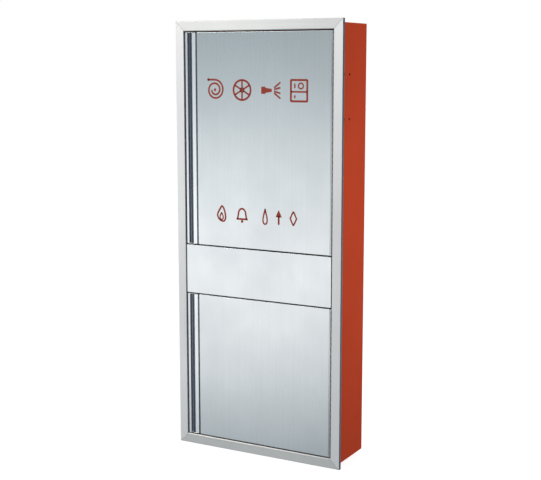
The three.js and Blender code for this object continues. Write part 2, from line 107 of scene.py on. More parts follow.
# %% Grid helpers
def grid_faces(rows, columns, closed_rows=False, closed_columns=True):
    """Quads over a grid of points numbered row by row. A closed direction joins its end to its start."""
    r = np.arange(rows if closed_rows else rows - 1)
    c = np.arange(columns if closed_columns else columns - 1)
    i, j = np.meshgrid(r, c, indexing="ij")
    k, l = (i + 1) % rows, (j + 1) % columns
    quads = np.stack([i * columns + j, i * columns + l, k * columns + l, k * columns + j], axis=-1)
    return quads.reshape(-1, 4).tolist()


def make(name, points, faces, body, finish, stands_for=(), smooth=40):
    """Puts points and faces into a mesh, points the faces out and lets the piece ride on its body."""
    mesh = bpy.data.meshes.new(name)
    mesh.from_pydata(np.asarray(points, float).reshape(-1, 3).tolist(), [], faces)
    work = bmesh.new()
    work.from_mesh(mesh)
    bmesh.ops.remove_doubles(work, verts=work.verts, dist=1e-7)
    bmesh.ops.dissolve_degenerate(work, edges=work.edges, dist=1e-7)
    bmesh.ops.recalc_face_normals(work, faces=work.faces)
    work.to_mesh(mesh)
    work.free()
    mesh.shade_smooth()
    mesh.set_sharp_from_angle(angle=math.radians(smooth))
    piece = bpy.data.objects.new(name, mesh)
    bpy.context.scene.collection.objects.link(piece)
    return dress(piece, body, finish, stands_for)


def dress(piece, body, finish, stands_for=()):
    """Gives a piece its material and its body, and hides the measured nodes it stands for."""
    material, slot = finish
    piece.data.materials.clear()
    piece.data.materials.append(material)
    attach(piece, body)
    if stands_for:
        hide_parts(*stands_for)
    return piece


# %% [markdown]
# ## Three ways to make a surface
#
# `carried` draws a closed section along a straight line, and may lean either end for a mitre.
# `nested` stacks rounded rectangles, each with its own inset and depth, which gives trays, covers
# and soft-edged plates. `turned` spins a profile. In all three a corner is an arc with a very
# narrow flat strip on each side of it, so that the light rolls over the corner and the wide faces
# stay flat.

# %% Sections with rounded corners
STRIP = 0.00015             # the narrow flat strip beside every rounded corner


def rounded(corners, radius, steps=4):
    """Each corner of a closed outline becomes an arc: points at radius from a centre on the bisector,
    swept from one edge's normal to the other's. radius is one number or one for each corner."""
    points = np.asarray(corners, float)
    radii = np.broadcast_to(np.asarray(radius, float), len(points))
    before = np.roll(points, 1, axis=0) - points
    after = np.roll(points, -1, axis=0) - points
    reach = np.minimum(np.linalg.norm(before, axis=1), np.linalg.norm(after, axis=1)) * 0.45
    before /= np.linalg.norm(before, axis=1)[:, None]
    after /= np.linalg.norm(after, axis=1)[:, None]
    half = np.arccos(np.clip((before * after).sum(1), -1, 1)) / 2
    cutback = np.minimum(radii / np.tan(half), reach)
    t = np.linspace(0, 1, steps + 1)[None, :, None]
    start = points + before * cutback[:, None]
    end = points + after * cutback[:, None]
    bow = (1 - t) ** 2 * start[:, None] + 2 * t * (1 - t) * points[:, None] + t ** 2 * end[:, None]
    first = start + before * np.minimum(STRIP, reach - cutback + 1e-9)[:, None]
    last = end + after * np.minimum(STRIP, reach - cutback + 1e-9)[:, None]
    return np.concatenate([first[:, None], bow, last[:, None]], axis=1).reshape(-1, 2)


def carried(section, start, end, across, deep, lean_start=0.0, lean_end=0.0):
    """Carries a closed 2-D section from start to end. A point at (a, b) in the section lies at
    the line's point + a * across + b * deep; each end leans by its own amount times a."""
    section = np.asarray(section, float)
    start, end, across, deep = (np.asarray(v, float) for v in (start, end, across, deep))
    along = (end - start) / np.linalg.norm(end - start)
    flat = section[:, :1] * across + section[:, 1:] * deep
    first = start + flat + section[:, :1] * lean_start * along
    last = end + flat + section[:, :1] * lean_end * along
    points = np.stack([first, last])
    count = len(section)
    faces = grid_faces(2, count)
    faces += [list(range(count)), list(range(count, 2 * count))]
    return points, faces


def nested(low, high, corner, profile, normal, steps=4):
    """A stack of rounded rectangles. profile lists (inset, depth): inset shrinks the rectangle and
    its corner radius, depth moves it along the normal axis from the low side."""
    low, high = np.asarray(low, float), np.asarray(high, float)
    a, b = [axis for axis in range(3) if axis != normal]
    inset, depth = np.asarray(profile, float).T
    radius = np.maximum(corner - inset, STRIP / 2)
    angle = np.linspace(0, math.pi / 2, steps + 1)[None, :] + np.arange(4)[:, None] * math.pi / 2
    sign_a = np.array([1, -1, -1, 1])[:, None]
    sign_b = np.array([1, 1, -1, -1])[:, None]
    middle, half = (low + high) / 2, (high - low) / 2
    points = np.zeros((len(profile), 4, steps + 1, 3))
    ring = radius[:, None, None]
    points[..., a] = middle[a] + sign_a * (half[a] - inset[:, None, None] - ring) + ring * np.cos(angle)
    points[..., b] = middle[b] + sign_b * (half[b] - inset[:, None, None] - ring) + ring * np.sin(angle)
    points[..., normal] = low[normal] + depth[:, None, None]
    count = 4 * (steps + 1)
    faces = grid_faces(len(profile), count)
    faces += [list(range(count)), list(range((len(profile) - 1) * count, len(profile) * count))]
    return points.reshape(-1, 3), faces


def soft_edge(radius, depth, inward=1, steps=4):
    """Profile points of a rounded rim: a quarter circle from the face to the side. inward is 1 where
    the face comes first and -1 where the side does."""
    t = np.linspace(0, math.pi / 2, steps + 1)
    inset = radius * (1 - np.sin(t))
    rise = radius * (1 - np.cos(t))
    points = [(radius + STRIP, 0.0), *zip(inset, rise), (0.0, radius + STRIP)]
    if inward > 0:
        return [(i, depth + r) for i, r in points]
    return [(i, depth - r) for i, r in reversed(points)]


def slab(low, high, radius=0.0005, corner=0.001, normal=1):
    """A plate with all of its edges rounded."""
    thick = high[normal] - low[normal]
    profile = soft_edge(radius, 0.0) + soft_edge(radius, thick, -1)
    return nested(low, high, corner, profile, normal)


def turned(profile, centre, axis=2, segments=64):
    """A closed profile of (radius, height) points spun round an axis through centre."""
    radius, height = np.asarray(profile, float).T
    angle = np.linspace(0, 2 * math.pi, segments, endpoint=False)
    a, b = [(1, 2), (2, 0), (0, 1)][axis]
    points = np.zeros((len(radius), segments, 3))
    points[..., a] = radius[:, None] * np.cos(angle)
    points[..., b] = radius[:, None] * np.sin(angle)
    points[..., axis] = height[:, None]
    points += np.asarray(centre, float)
    return points.reshape(-1, 3), grid_faces(len(radius), segments, closed_rows=True)


# %% [markdown]
# ## Materials
#
# Brushed stainless is bare metal with a fine grain: thousands of shallow scratches that all run
# one way. It is bare metal to the shader too, with a noise pattern stretched a long way along the
# grain that lifts and drops the roughness and tilts the surface by a hair. Paint is the other way
# round: even in colour, with a slow ripple in its skin. Each maker below builds one finish from
# noise on object coordinates, so the pattern stays with the piece as it moves.

# %% Material helpers
class Nodes:
    """A short way to add and join the nodes of one material."""

    def __init__(self, name):
        self.material = bpy.data.materials.new(name)
        self.material.use_nodes = True
        self.tree = self.material.node_tree
        self.tree.nodes.clear()
        self.shader = self.add("ShaderNodeBsdfPrincipled")
        output = self.add("ShaderNodeOutputMaterial")
        self.join(self.shader.outputs["BSDF"], output.inputs["Surface"])
        self.place = self.add("ShaderNodeTexCoord").outputs["Object"]

    def add(self, kind, **settings):
        node = self.tree.nodes.new(kind)
        for key, value in settings.items():
            setattr(node, key, value)
        return node

    def join(self, source, target):
        self.tree.links.new(source, target)

    def stretched(self, scale, turn=(0, 0, 0)):
        node = self.add("ShaderNodeMapping")
        node.inputs["Scale"].default_value = scale
        node.inputs["Rotation"].default_value = turn
        self.join(self.place, node.inputs["Vector"])
        return node.outputs["Vector"]

    def noise(self, scale, vector=None, detail=4.0, rough=0.55):
        node = self.add("ShaderNodeTexNoise")
        node.inputs["Scale"].default_value = scale
        node.inputs["Detail"].default_value = detail
        node.inputs["Roughness"].default_value = rough
        self.join(vector or self.place, node.inputs["Vector"])
        return node.outputs["Fac"]

    def spread(self, value, low, high, start=0.3, stop=0.7):
        node = self.add("ShaderNodeMapRange")
        node.inputs["From Min"].default_value = start
        node.inputs["From Max"].default_value = stop
        node.inputs["To Min"].default_value = low
        node.inputs["To Max"].default_value = high
        self.join(value, node.inputs["Value"])
        return node.outputs["Result"]

    def ramp(self, value, stops):
        node = self.add("ShaderNodeValToRGB")
        band = node.color_ramp
        while len(band.elements) < len(stops):
            band.elements.new(0.5)
        for element, (where, colour) in zip(band.elements, stops):
            element.position = where
            element.color = (*colour, 1)
        self.join(value, node.inputs["Fac"])
        return node.outputs["Color"]

    def mix(self, kind, amount, one, two):
        node = self.add("ShaderNodeMix", data_type="RGBA", blend_type=kind)
        for socket, value in ((node.inputs["Factor"], amount), (node.inputs[6], one), (node.inputs[7], two)):
            if isinstance(value, bpy.types.NodeSocket):
                self.join(value, socket)
            else:
                socket.default_value = value if socket.type == "VALUE" else (*value, 1)
        return node.outputs[2]

    def math(self, operation, one, two):
        node = self.add("ShaderNodeMath", operation=operation)
        for socket, value in zip(node.inputs, (one, two)):
            if isinstance(value, bpy.types.NodeSocket):
                self.join(value, socket)
            else:
                socket.default_value = value
        return node.outputs["Value"]

    def bump(self, height, distance, strength=1.0, below=None):
        node = self.add("ShaderNodeBump")
        node.inputs["Distance"].default_value = distance
        node.inputs["Strength"].default_value = strength
        self.join(height, node.inputs["Height"])
        if below:
            self.join(below, node.inputs["Normal"])
        return node.outputs["Normal"]

    def finish(self, **sockets):
        for label, value in sockets.items():
            socket = self.shader.inputs[label.replace("_", " ")]
            if isinstance(value, bpy.types.NodeSocket):
                self.join(value, socket)
            else:
                socket.default_value = value
        return self.material


def srgb(red, green, blue):
    """A colour as seen on screen, 0 to 255, as linear light."""
    c = np.array([red, green, blue], float) / 255
    return tuple(np.where(c <= 0.04045, c / 12.92, ((c + 0.055) / 1.055) ** 2.4))


# %% [markdown]
# ### Brushed and satin metal
#
# The grain of a sheet follows the way it was drawn through the belt. On the doors it runs up and down, on the trim it
# runs along each rail. One maker serves them all: it is given the direction of the grain, how rough the metal is and
# its tone. The level rails of the trim are given a darker tone than the uprights, which is painted shade, and the pull
# stile has painted shade deep in its scoop.

# %% Brushed metal
def brushed(name, grain, light, dark, roughness, cloud=1.6, scratch=0.000006, anisotropy=0.6, recess=None):
    """Bare metal with grain along one axis. Streaks are noise stretched 400 times along the grain, clouds are slow
    noise that stand for handling and rolling marks. A recess, if given, is painted shade: deeper than a given depth
    along object Y, the tone is mixed towards a darker, bluish colour."""
    n = Nodes(name)
    fine = [1500.0, 1500.0, 1500.0]
    fine[grain] = 4.0
    broad = [260.0, 260.0, 260.0]
    broad[grain] = 1.4
    streaks = n.noise(1.0, n.stretched(fine), detail=3)
    bands = n.noise(1.0, n.stretched(broad), detail=3)
    clouds = n.noise(cloud, detail=5, rough=0.6)
    both = n.math("ADD", n.math("MULTIPLY", streaks, 0.5), n.math("MULTIPLY", bands, 0.5))
    tone = n.ramp(both, [(0.36, dark), (0.64, light)])
    tone = n.mix("MULTIPLY", n.spread(clouds, 0.0, 0.5), tone, tuple(0.9 * v for v in light))
    # painted shade: between start and stop depth along object Y, the tone turns towards the given darker colour
    if recess:
        start, stop, shade = recess
        split = n.add("ShaderNodeSeparateXYZ")
        n.join(n.place, split.inputs[0])
        tone = n.mix("MIX", n.spread(split.outputs["Y"], 0.0, 0.8, start, stop), tone, shade)
    rough = n.math("ADD", n.spread(streaks, roughness - 0.03, roughness + 0.03), n.spread(clouds, -0.03, 0.04))
    around = n.add("ShaderNodeTangent", direction_type="RADIAL", axis="XYZ"[grain])
    n.join(around.outputs["Tangent"], n.shader.inputs["Tangent"])
    return n.finish(
        Base_Color=tone, Roughness=rough, Metallic=1.0, Anisotropic=anisotropy,
        Normal=n.bump(streaks, scratch),
    )


STAINLESS = (brushed("brushed_stainless", 2, srgb(238, 240, 241), srgb(231, 234, 235), 0.30, anisotropy=0.85), "brushed_stainless")
TRIM_UPRIGHT = (brushed("trim_upright", 2, srgb(249, 247, 246), srgb(244, 242, 242), 0.45, anisotropy=0.3), "trim")
# The level rails are the same stainless as the uprights, with a darker tone: painted shade.
TRIM_LEVEL_SHADED = (brushed("trim_level_shaded", 0, srgb(225, 225, 224), srgb(219, 219, 218), 0.45, anisotropy=0.2), "trim")
STILE_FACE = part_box("upper_handle_stile")[0].y
# The stile's scoop and groove get painted shade: from 4 mm behind the face, a bluish grey is mixed into the tone.
ALUMINIUM = (brushed(
    "handle_aluminium", 2, srgb(248, 248, 248), srgb(242, 243, 245), 0.24, scratch=0.0000015,
    anisotropy=0.0, recess=(STILE_FACE + 0.004, STILE_FACE + 0.0105, srgb(124, 136, 154)),
), "handle_aluminium")
SATIN = (brushed("satin_aluminium", 2, srgb(236, 238, 240), srgb(222, 225, 228), 0.38, anisotropy=0.0), "handle_aluminium")
print("metals: brushed stainless, two ways of trim, satin aluminium")

# %% [markdown]
# ### Paint
#
# The body is dipped and baked in an orange-red enamel. Under soft light it is nearly flat, with a slight ripple, a
# little dust held in the film, and rubs where the box was handled.

# %% Painted metal
def painted(name, colour, worn, roughness, gloss, ripple=0.00006, ripple_scale=180.0):
    """Enamel: slow tone drift, a fine ripple, and rubbed patches that are duller and browner."""
    n = Nodes(name)
    drift = n.noise(2.3, detail=6, rough=0.6)
    skin = n.noise(ripple_scale, detail=2)
    rubs = n.noise(9.0, n.stretched((1.0, 1.0, 0.35)), detail=9, rough=0.72)
    tone = n.ramp(drift, [(0.3, tuple(0.93 * v for v in colour)), (0.7, tuple(min(1, 1.05 * v) for v in colour))])
    tone = n.mix("MIX", n.spread(rubs, 0.0, 0.85, 0.66, 0.80), tone, worn)
    rough = n.math("ADD", n.spread(rubs, roughness - 0.04, roughness + 0.12, 0.4, 0.8), n.spread(skin, -0.02, 0.02))
    return n.finish(
        Base_Color=tone, Roughness=rough, Metallic=0.0, Specular_IOR_Level=gloss,
        Normal=n.bump(skin, ripple, 0.6, n.bump(rubs, 0.00008, 0.3)),
    )


BODY_PAINT = (painted("body_enamel", srgb(208, 74, 42), srgb(158, 62, 42), 0.6, 0.06), "body_paint")
# This is dark grey enamel for the box rails behind the door gaps. It is dark so that the gaps read as shade: painted
# shade.
GAP_SHADE_PAINT = (painted("dark_enamel", srgb(44, 46, 49), srgb(30, 30, 32), 0.5, 0.3), "dark_enamel")
CASTING = (painted("casting_enamel", srgb(176, 30, 20), srgb(96, 30, 24), 0.40, 0.5, 0.0004, 420.0), "painted_casting")

# %% [markdown]
# ### The small parts' finishes
#
# Zinc plate has a soft blue-grey mottle, machined brass has turning lines, catches are a grained
# black moulding and the seals are plain rubber. They are small, so each needs only two or three
# noises, at a scale that suits a part a few centimetres long.

# %% Zinc, brass, plastic, rubber and vinyl
def plated(name, light, dark, roughness, lines=(60.0, 60.0, 60.0), metallic=1.0):
    n = Nodes(name)
    mottle = n.noise(1.0, n.stretched(lines), detail=5)
    fine = n.noise(700.0, detail=2)
    tone = n.ramp(mottle, [(0.35, dark), (0.65, light)])
    rough = n.math("ADD", n.spread(mottle, roughness - 0.06, roughness + 0.08), n.spread(fine, -0.03, 0.03))
    return n.finish(Base_Color=tone, Roughness=rough, Metallic=metallic, Normal=n.bump(fine, 0.00003, 0.5))


ZINC = (plated("zinc_plate", srgb(206, 210, 214), srgb(176, 182, 190), 0.34), "zinc_steel")
BRASS = (plated("machined_brass", srgb(214, 176, 104), srgb(178, 136, 70), 0.28, (30.0, 30.0, 900.0)), "brass")
PLASTIC = (plated("black_moulding", srgb(34, 34, 36), srgb(22, 22, 24), 0.48, (300.0, 300.0, 300.0), 0.0), "catch_plastic")
RUBBER = (plated("black_rubber", srgb(30, 30, 30), srgb(18, 18, 18), 0.75, (120.0, 120.0, 120.0), 0.0), "seal_rubber")
VINYL = (plated("red_vinyl", srgb(182, 62, 36), srgb(168, 52, 28), 0.6, (40.0, 40.0, 40.0), 0.0), "body_paint")

# %% [markdown]
# ## The trim frame
#
# Four lengths of folded stainless meet in mitres. Each rail is one section carried along its
# side: a face 42 mm wide, a small roll on the outer edge, a wider bevel on the inner edge, a leg
# turned back into the opening and a lip that lies on the wall. Both ends lean by one millimetre
# for each millimetre across, which is what makes a mitre.

# %% Trim rails
MM = 0.001
SHEET = 1.5 * MM
RAIL_LOW, RAIL_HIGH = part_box("frame_left")
RAIL = RAIL_HIGH.x - RAIL_LOW.x
RETURN = RAIL_HIGH.y - RAIL_LOW.y
MITRE_GAP = 0.5 * MM
BEVEL = 3.0 * MM
LIP = 10 * MM

rail_section = rounded(
    [(0, RETURN), (0, 0), (RAIL - BEVEL, 0), (RAIL, BEVEL), (RAIL, RETURN), (RAIL - SHEET, RETURN),
     (RAIL - SHEET, BEVEL + 0.6 * MM), (RAIL - BEVEL - 0.6 * MM, SHEET), (SHEET, SHEET),
     (SHEET, RETURN - SHEET), (LIP, RETURN - SHEET), (LIP, RETURN)],
    np.array([0.6, 2.0, 1.0, 1.0, 0.3, 0.3, 0.4, 0.4, 0.6, 0.4, 0.3, 0.3]) * MM,
)
left, right = TRIM_LOW.x, TRIM_HIGH.x
top = TRIM_HIGH.z
rails = [
    ("left", (left, FACE, FOOT), (left, FACE, top), (1, 0, 0), TRIM_UPRIGHT),
    ("right", (right, FACE, FOOT), (right, FACE, top), (-1, 0, 0), TRIM_UPRIGHT),
    ("bottom", (left, FACE, FOOT), (right, FACE, FOOT), (0, 0, 1), TRIM_LEVEL_SHADED),
    ("top", (left, FACE, top), (right, FACE, top), (0, 0, -1), TRIM_LEVEL_SHADED),
]
for side, start, end, across, metal in rails:
    start, end = Vector(start), Vector(end)
    along = (end - start).normalized() * MITRE_GAP
    points, faces = carried(rail_section, start + along, end - along, across, (0, 1, 0), 1.0, -1.0)
    make(f"trim_{side}", points, faces, "cabinet", metal, [f"frame_{side}"])
print("trim rails:", len(rails), "section points:", len(rail_section))

# %% [markdown]
# ## The body
#
# The body is folded from flat sheet: one long piece makes the back and both sides, and two lids
# close its ends. A folded corner has an outside radius of about twice the sheet's thickness, and
# that small round is what catches the light down the back edge. The section of the folded piece
# is carried straight up, then the holes are cut through it.

# %% Body wrap
SIDE_LOW, SIDE_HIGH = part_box("body_right_side")
BACK_LOW, BACK_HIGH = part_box("body_back")
BODY_FRONT = SIDE_LOW.y
BODY_BACK = BACK_HIGH.y
BODY_FOOT, BODY_TOP = SIDE_LOW.z, SIDE_HIGH.z
HALF = SIDE_HIGH.x
FOLD = 3.2 * MM

inner = HALF - SHEET
wrap_section = rounded(
    [(-HALF, BODY_FRONT), (-HALF, BODY_BACK), (HALF, BODY_BACK), (HALF, BODY_FRONT),
     (inner, BODY_FRONT), (inner, BODY_BACK - SHEET), (-inner, BODY_BACK - SHEET), (-inner, BODY_FRONT)],
    np.array([0.4, 3.2, 3.2, 0.4, 0.4, 1.7, 1.7, 0.4]) * MM,
    steps=6,
)
points, faces = carried(wrap_section, (0, 0, BODY_FOOT), (0, 0, BODY_TOP), (1, 0, 0), (0, 1, 0))
wrap = make("body_wrap", points, faces, "cabinet", BODY_PAINT, ["body_left_side", "body_right_side", "body_back"])


def shell_object(points, faces):
    """A loose closed mesh object, its normals outward, for a boolean."""
    mesh = bpy.data.meshes.new("core")
    mesh.from_pydata(np.asarray(points, float).reshape(-1, 3).tolist(), [], faces)
    work = bmesh.new()
    work.from_mesh(mesh)
    bmesh.ops.remove_doubles(work, verts=work.verts, dist=1e-7)
    bmesh.ops.dissolve_degenerate(work, edges=work.edges, dist=1e-7)
    bmesh.ops.recalc_face_normals(work, faces=work.faces)
    work.to_mesh(mesh)
    work.free()
    core = bpy.data.objects.new("core", mesh)
    bpy.context.scene.collection.objects.link(core)
    return core


def drilled(piece, rods, segments=32):
    """Cuts round rods out of a piece. Each rod is (centre, radius, length, axis)."""
    cutters = []
    for centre, radius, length, axis in rods:
        profile = [(0, -length / 2), (radius, -length / 2), (radius, length / 2), (0, length / 2)]
        cutters.append(shell_object(*turned(profile, centre, axis, segments)))
        modifier = piece.modifiers.new("hole", "BOOLEAN")
        modifier.operation, modifier.solver, modifier.object = "DIFFERENCE", "EXACT", cutters[-1]
    shown = piece.evaluated_get(bpy.context.evaluated_depsgraph_get())
    cut_mesh = bpy.data.meshes.new_from_object(shown)
    cut_mesh.materials.clear()
    for material in piece.data.materials:
        cut_mesh.materials.append(material)
    piece.modifiers.clear()
    piece.data = cut_mesh
    cut_mesh.set_sharp_from_angle(angle=math.radians(35))
    for cutter in cutters:
        bpy.data.objects.remove(cutter)


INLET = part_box("inlet_grommet")
inlet_centre = (INLET[0] + INLET[1]) / 2
FIXING_DEPTHS = [31 * MM, 79 * MM]
FIXING_DROPS = [203 * MM, 380 * MM]
holes = [
    ((side * HALF, FACE + RETURN + depth, BODY_TOP - drop), 5 * MM, 20 * MM, 0)
    for side in (-1, 1) for depth in FIXING_DEPTHS for drop in FIXING_DROPS
]
drilled(wrap, holes + [((-HALF, inlet_centre.y, inlet_centre.z), 46 * MM, 20 * MM, 0)])
print("body wrap faces:", len(wrap.data.polygons), "holes:", len(holes) + 1)

# %% Lids of the body
for name in ("body_top", "body_bottom"):
    low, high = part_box(name)
    points, faces = slab(low, high, radius=0.6 * MM, normal=2)
    make(name + "_lid", points, faces, "cabinet", BODY_PAINT, [name])

# %% [markdown]
# ## Doors and fascia
#
# Each door leaf is a pressed tray: a flat face with all four edges folded back at a tight radius.
# Nested rounded rectangles follow the sheet from the middle of the face, round the fold, down the
# return, over the cut edge and back along the inside. A real sheet is never dead flat, so a door
# face keeps its plane only in the middle of the model's mind: what shows the difference is the
# grain and the cloudy reflection, which the material gives.

# %% Folded trays
def tray(name, node, body, sheet=1.2 * MM, fold=1.3 * MM, corner=1.8 * MM):
    """A tray open at the back. The profile runs over the face, the outside and back up the inside."""
    low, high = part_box(node)
    deep = high.y - low.y
    inside = fold - sheet
    profile = [
        *soft_edge(fold, 0.0),
        (0.0, deep - 0.3 * MM - STRIP), (0.0, deep - 0.3 * MM), (0.1 * MM, deep - 0.1 * MM), (0.3 * MM, deep),
        (sheet - 0.3 * MM, deep), (sheet - 0.1 * MM, deep - 0.1 * MM), (sheet, deep - 0.3 * MM),
        (sheet, deep - 0.3 * MM - STRIP), (sheet, sheet + inside + STRIP), (sheet, sheet + inside),
        (sheet + inside * 0.3, sheet + inside * 0.3), (sheet + inside, sheet), (sheet + inside + STRIP, sheet),
    ]
    points, faces = nested(low, high, corner, profile, 1)
    return make(name, points, faces, body, STAINLESS, [node])


tray("fascia", "fascia_panel", "cabinet")
for door in ("upper", "lower"):
    tray(f"{door}_leaf", f"{door}_door_leaf", f"{door}_door")

# %% [markdown]
# ## The pull stile
#
# The stile down the left of each door is an aluminium extrusion. Fingers go into a scoop that
# drops steeply behind the left lip and climbs back slowly to the right, so the section is a plain
# outline with one Bezier curve in it. A tongue behind the face carries the door leaf and closes
# the shadow groove between the two.

# %% Pull stiles
STILE_WALL = 1.6 * MM
SCOOP = np.array([(9.6, 0.8), (8.5, 15.5), (19, 14), (33, 0)]) * MM


def scoop_curve(count):
    """Points and unit tangents of the cubic Bezier through the four scoop points."""
    t = np.linspace(0, 1, count)[:, None]
    p0, p1, p2, p3 = SCOOP
    points = (1 - t) ** 3 * p0 + 3 * (1 - t) ** 2 * t * p1 + 3 * (1 - t) * t ** 2 * p2 + t ** 3 * p3
    tangents = 3 * (1 - t) ** 2 * (p1 - p0) + 6 * (1 - t) * t * (p2 - p1) + 3 * t ** 2 * (p3 - p2)
    return points, tangents / np.linalg.norm(tangents, axis=1)[:, None]


def stile_section(width, deep, tongue_end):
    front, tangent = scoop_curve(28)
    back = front + STILE_WALL * np.stack([-tangent[:, 1], tangent[:, 0]], axis=1)
    back = back[back[:, 1] > STILE_WALL][::-1]
    shelf = deep - 2.4 * MM
    lips = rounded([(0, deep), (0, 0), (9.0 * MM, 0)], np.array([0.3, 1.0, 0.3]) * MM)[6:14]
    nose = rounded([(33.6 * MM, 0), (width, 0), (width, shelf)], np.array([0.1, 0.9, 0.3]) * MM)[7:14]
    tongue = np.array([
        (width, shelf), (tongue_end, shelf), (tongue_end, shelf + STILE_WALL), (width - STILE_WALL, shelf + STILE_WALL),
        (width - STILE_WALL, STILE_WALL),
    ])
    tail = np.array([(8.0 * MM, STILE_WALL), (STILE_WALL, STILE_WALL), (STILE_WALL, deep)])
    return np.concatenate([[(0, deep)], lips, front, nose, tongue, back, tail])


for door in ("upper", "lower"):
    low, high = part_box(f"{door}_handle_stile")
    cap_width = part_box(f"{door}_handle_cap_top")[1].x - low.x
    section = stile_section(cap_width, high.y - low.y, high.x - low.x)
    points, faces = carried(section, (low.x, low.y, low.z), (low.x, low.y, high.z), (1, 0, 0), (0, 1, 0))
    make(f"{door}_stile", points, faces, f"{door}_door", ALUMINIUM, [f"{door}_handle_stile"], smooth=30)
    for end in ("top", "bottom"):
        node = f"{door}_handle_cap_{end}"
        points, faces = slab(*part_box(node), radius=0.4 * MM, normal=2)
        make(f"{door}_stile_{end}_cap", points, faces, f"{door}_door", ALUMINIUM, [node])
print("stile section points:", len(section))

# %% [markdown]
# ## The piano hinges
#
# A piano hinge runs the whole height of each door. Its two leaves are strips with a row of rolled
# knuckles, and every second knuckle belongs to the same leaf, so the two rows mesh on one pin. The
# knuckles sit in the gap at the right of the door, where they read as a fine bright dashed line.
# Each is a short tube turned about the pin, so one profile and one loop over heights make them all.

# %% Tubes, and several shells in one piece
def merged(*shells):
    """Several (points, faces) shells as one, with each shell's faces counted on from the last."""
    points, faces, start = [], [], 0
    for shell_points, shell_faces in shells:
        flat = np.asarray(shell_points, float).reshape(-1, 3)
        points.append(flat)
        faces += [[start + i for i in face] for face in shell_faces]
        start += len(flat)
    return np.concatenate(points), faces


def sleeve(bore, radius, low, high, soft):
    """The closed profile of a short tube whose outer corners are rounded."""
    rim = rounded([(bore, low), (radius, low), (radius, high), (bore, high)], np.array([0.1 * MM, soft, soft, 0.1 * MM]))
    return rim


PIN_RADIUS = (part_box("upper_hinge_pin")[1].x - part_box("upper_hinge_pin")[0].x) / 2
KNUCKLE_PITCH = 12.7 * MM
KNUCKLE_RADIUS = 2.7 * MM
KNUCKLE_GAP = 1.0 * MM

for door in ("upper", "lower"):
    pin_low, pin_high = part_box(f"{door}_hinge_pin")
    pin = (pin_low + pin_high) / 2
    count = round((pin_high.z - pin_low.z) / KNUCKLE_PITCH)
    pitch = (pin_high.z - pin_low.z) / count
    tube = sleeve(PIN_RADIUS + 0.1 * MM, KNUCKLE_RADIUS, 0.0, pitch - KNUCKLE_GAP, 0.25 * MM)
    for first, leaf, body, side in ((0, "frame", "cabinet", 1), (1, "door", f"{door}_door", -1)):
        node = f"{door}_hinge_{leaf}_leaf"
        low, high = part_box(node)
        strip_x = high.x - 1.1 * MM if side > 0 else low.x
        strip_low = (strip_x, pin.y + 1.4 * MM, low.z)
        strip_high = (strip_x + 1.0 * MM, high.y, high.z)
        shells = [slab(strip_low, strip_high, radius=0.2 * MM, corner=0.4 * MM, normal=0)]
        for i in range(first, count, 2):
            foot = pin_low.z + i * pitch + KNUCKLE_GAP / 2
            shells.append(turned(tube, (pin.x, pin.y, foot), 2, 20))
            near = pin.x + side * 1.0 * MM
            web = sorted((near, strip_x + 0.5 * MM))
            web_low = (web[0], pin.y + 1.7 * MM, foot)
            web_high = (web[1], pin.y + 2.7 * MM, foot + pitch - KNUCKLE_GAP)
            shells.append(slab(web_low, web_high, radius=0.1 * MM, corner=0.2 * MM, normal=2))
        make(f"{door}_hinge_{leaf}", *merged(*shells), body, STAINLESS, [node])
    rod_profile = rounded([(0, pin_low.z), (PIN_RADIUS, pin_low.z), (PIN_RADIUS, pin_high.z), (0, pin_high.z)],
                          np.array([0.01, 0.4, 0.4, 0.01]) * MM)
    make(f"{door}_pin", *turned(rod_profile, (pin.x, pin.y, 0), 2, 20), "cabinet", ZINC, [f"{door}_hinge_pin"])
    print(door, "hinge knuckles:", count, "pitch mm:", round(pitch / MM, 2))

# %% [markdown]
# ## Inside the body
# Two box rails cross the opening behind the gaps, a shelf divides the body between them, and a folded shelf makes the
# lower compartment's floor. Behind each door a channel keeps the sheet stiff. All of them are folded from the same
# sheet as the body, so all are a closed section carried along a straight line, with fold radii that suit the sheet. The
# box rails are enamelled a dark grey so that the gaps in front of them read dark: painted shade.

# %% Box rails, shelves and channels
def box_tube(low, high, wall, radius, normal):
    """A square tube: rounded rectangles carried out along the outside and back along the bore."""
    length = high[normal] - low[normal]
    lip = 0.2 * MM
    profile = [(0, lip), (0, lip + STRIP), (0, length - lip - STRIP), (0, length - lip), (lip, length),
               (wall - lip, length), (wall, length - lip), (wall, lip), (wall - lip, 0), (lip, 0)]
    points, faces = nested(low, high, radius, profile, normal)
    count = len(points) // len(profile)
    faces = grid_faces(len(profile), count, closed_rows=True)
    return points, faces


def channel(across, deep, sheet, fold):
    """Section of a folded channel, open at depth 0: out along one leg, over the web, back inside."""
    return rounded(
        [(-across, 0), (-across, deep), (across, deep), (across, 0),
         (across - sheet, 0), (across - sheet, deep - sheet), (sheet - across, deep - sheet), (sheet - across, 0)],
        np.array([0.3 * MM, fold, fold, 0.3 * MM, 0.3 * MM, fold - sheet, fold - sheet, 0.3 * MM]),
    )


# The rails are painted near black so that the gaps in front of them look dark: painted shade.
for name in ("cross_rail_upper", "cross_rail_lower"):
    low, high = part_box(name)
    make(name + "_tube", *box_tube(low, high, 1.2 * MM, 2.0 * MM, 0), "cabinet", GAP_SHADE_PAINT, [name])

low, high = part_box("divider_shelf")
make("divider_plate", *slab(low, high, radius=0.5 * MM, normal=2), "cabinet", BODY_PAINT, ["divider_shelf"])

low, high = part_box("extinguisher_shelf")
middle = (low + high) / 2
section = channel((high.y - low.y) / 2, high.z - low.z, SHEET, 3.0 * MM)
points, faces = carried(section, (low.x, middle.y, low.z), (high.x, middle.y, low.z), (0, 1, 0), (0, 0, 1))
make("lower_shelf", points, faces, "cabinet", BODY_PAINT, ["extinguisher_shelf"])

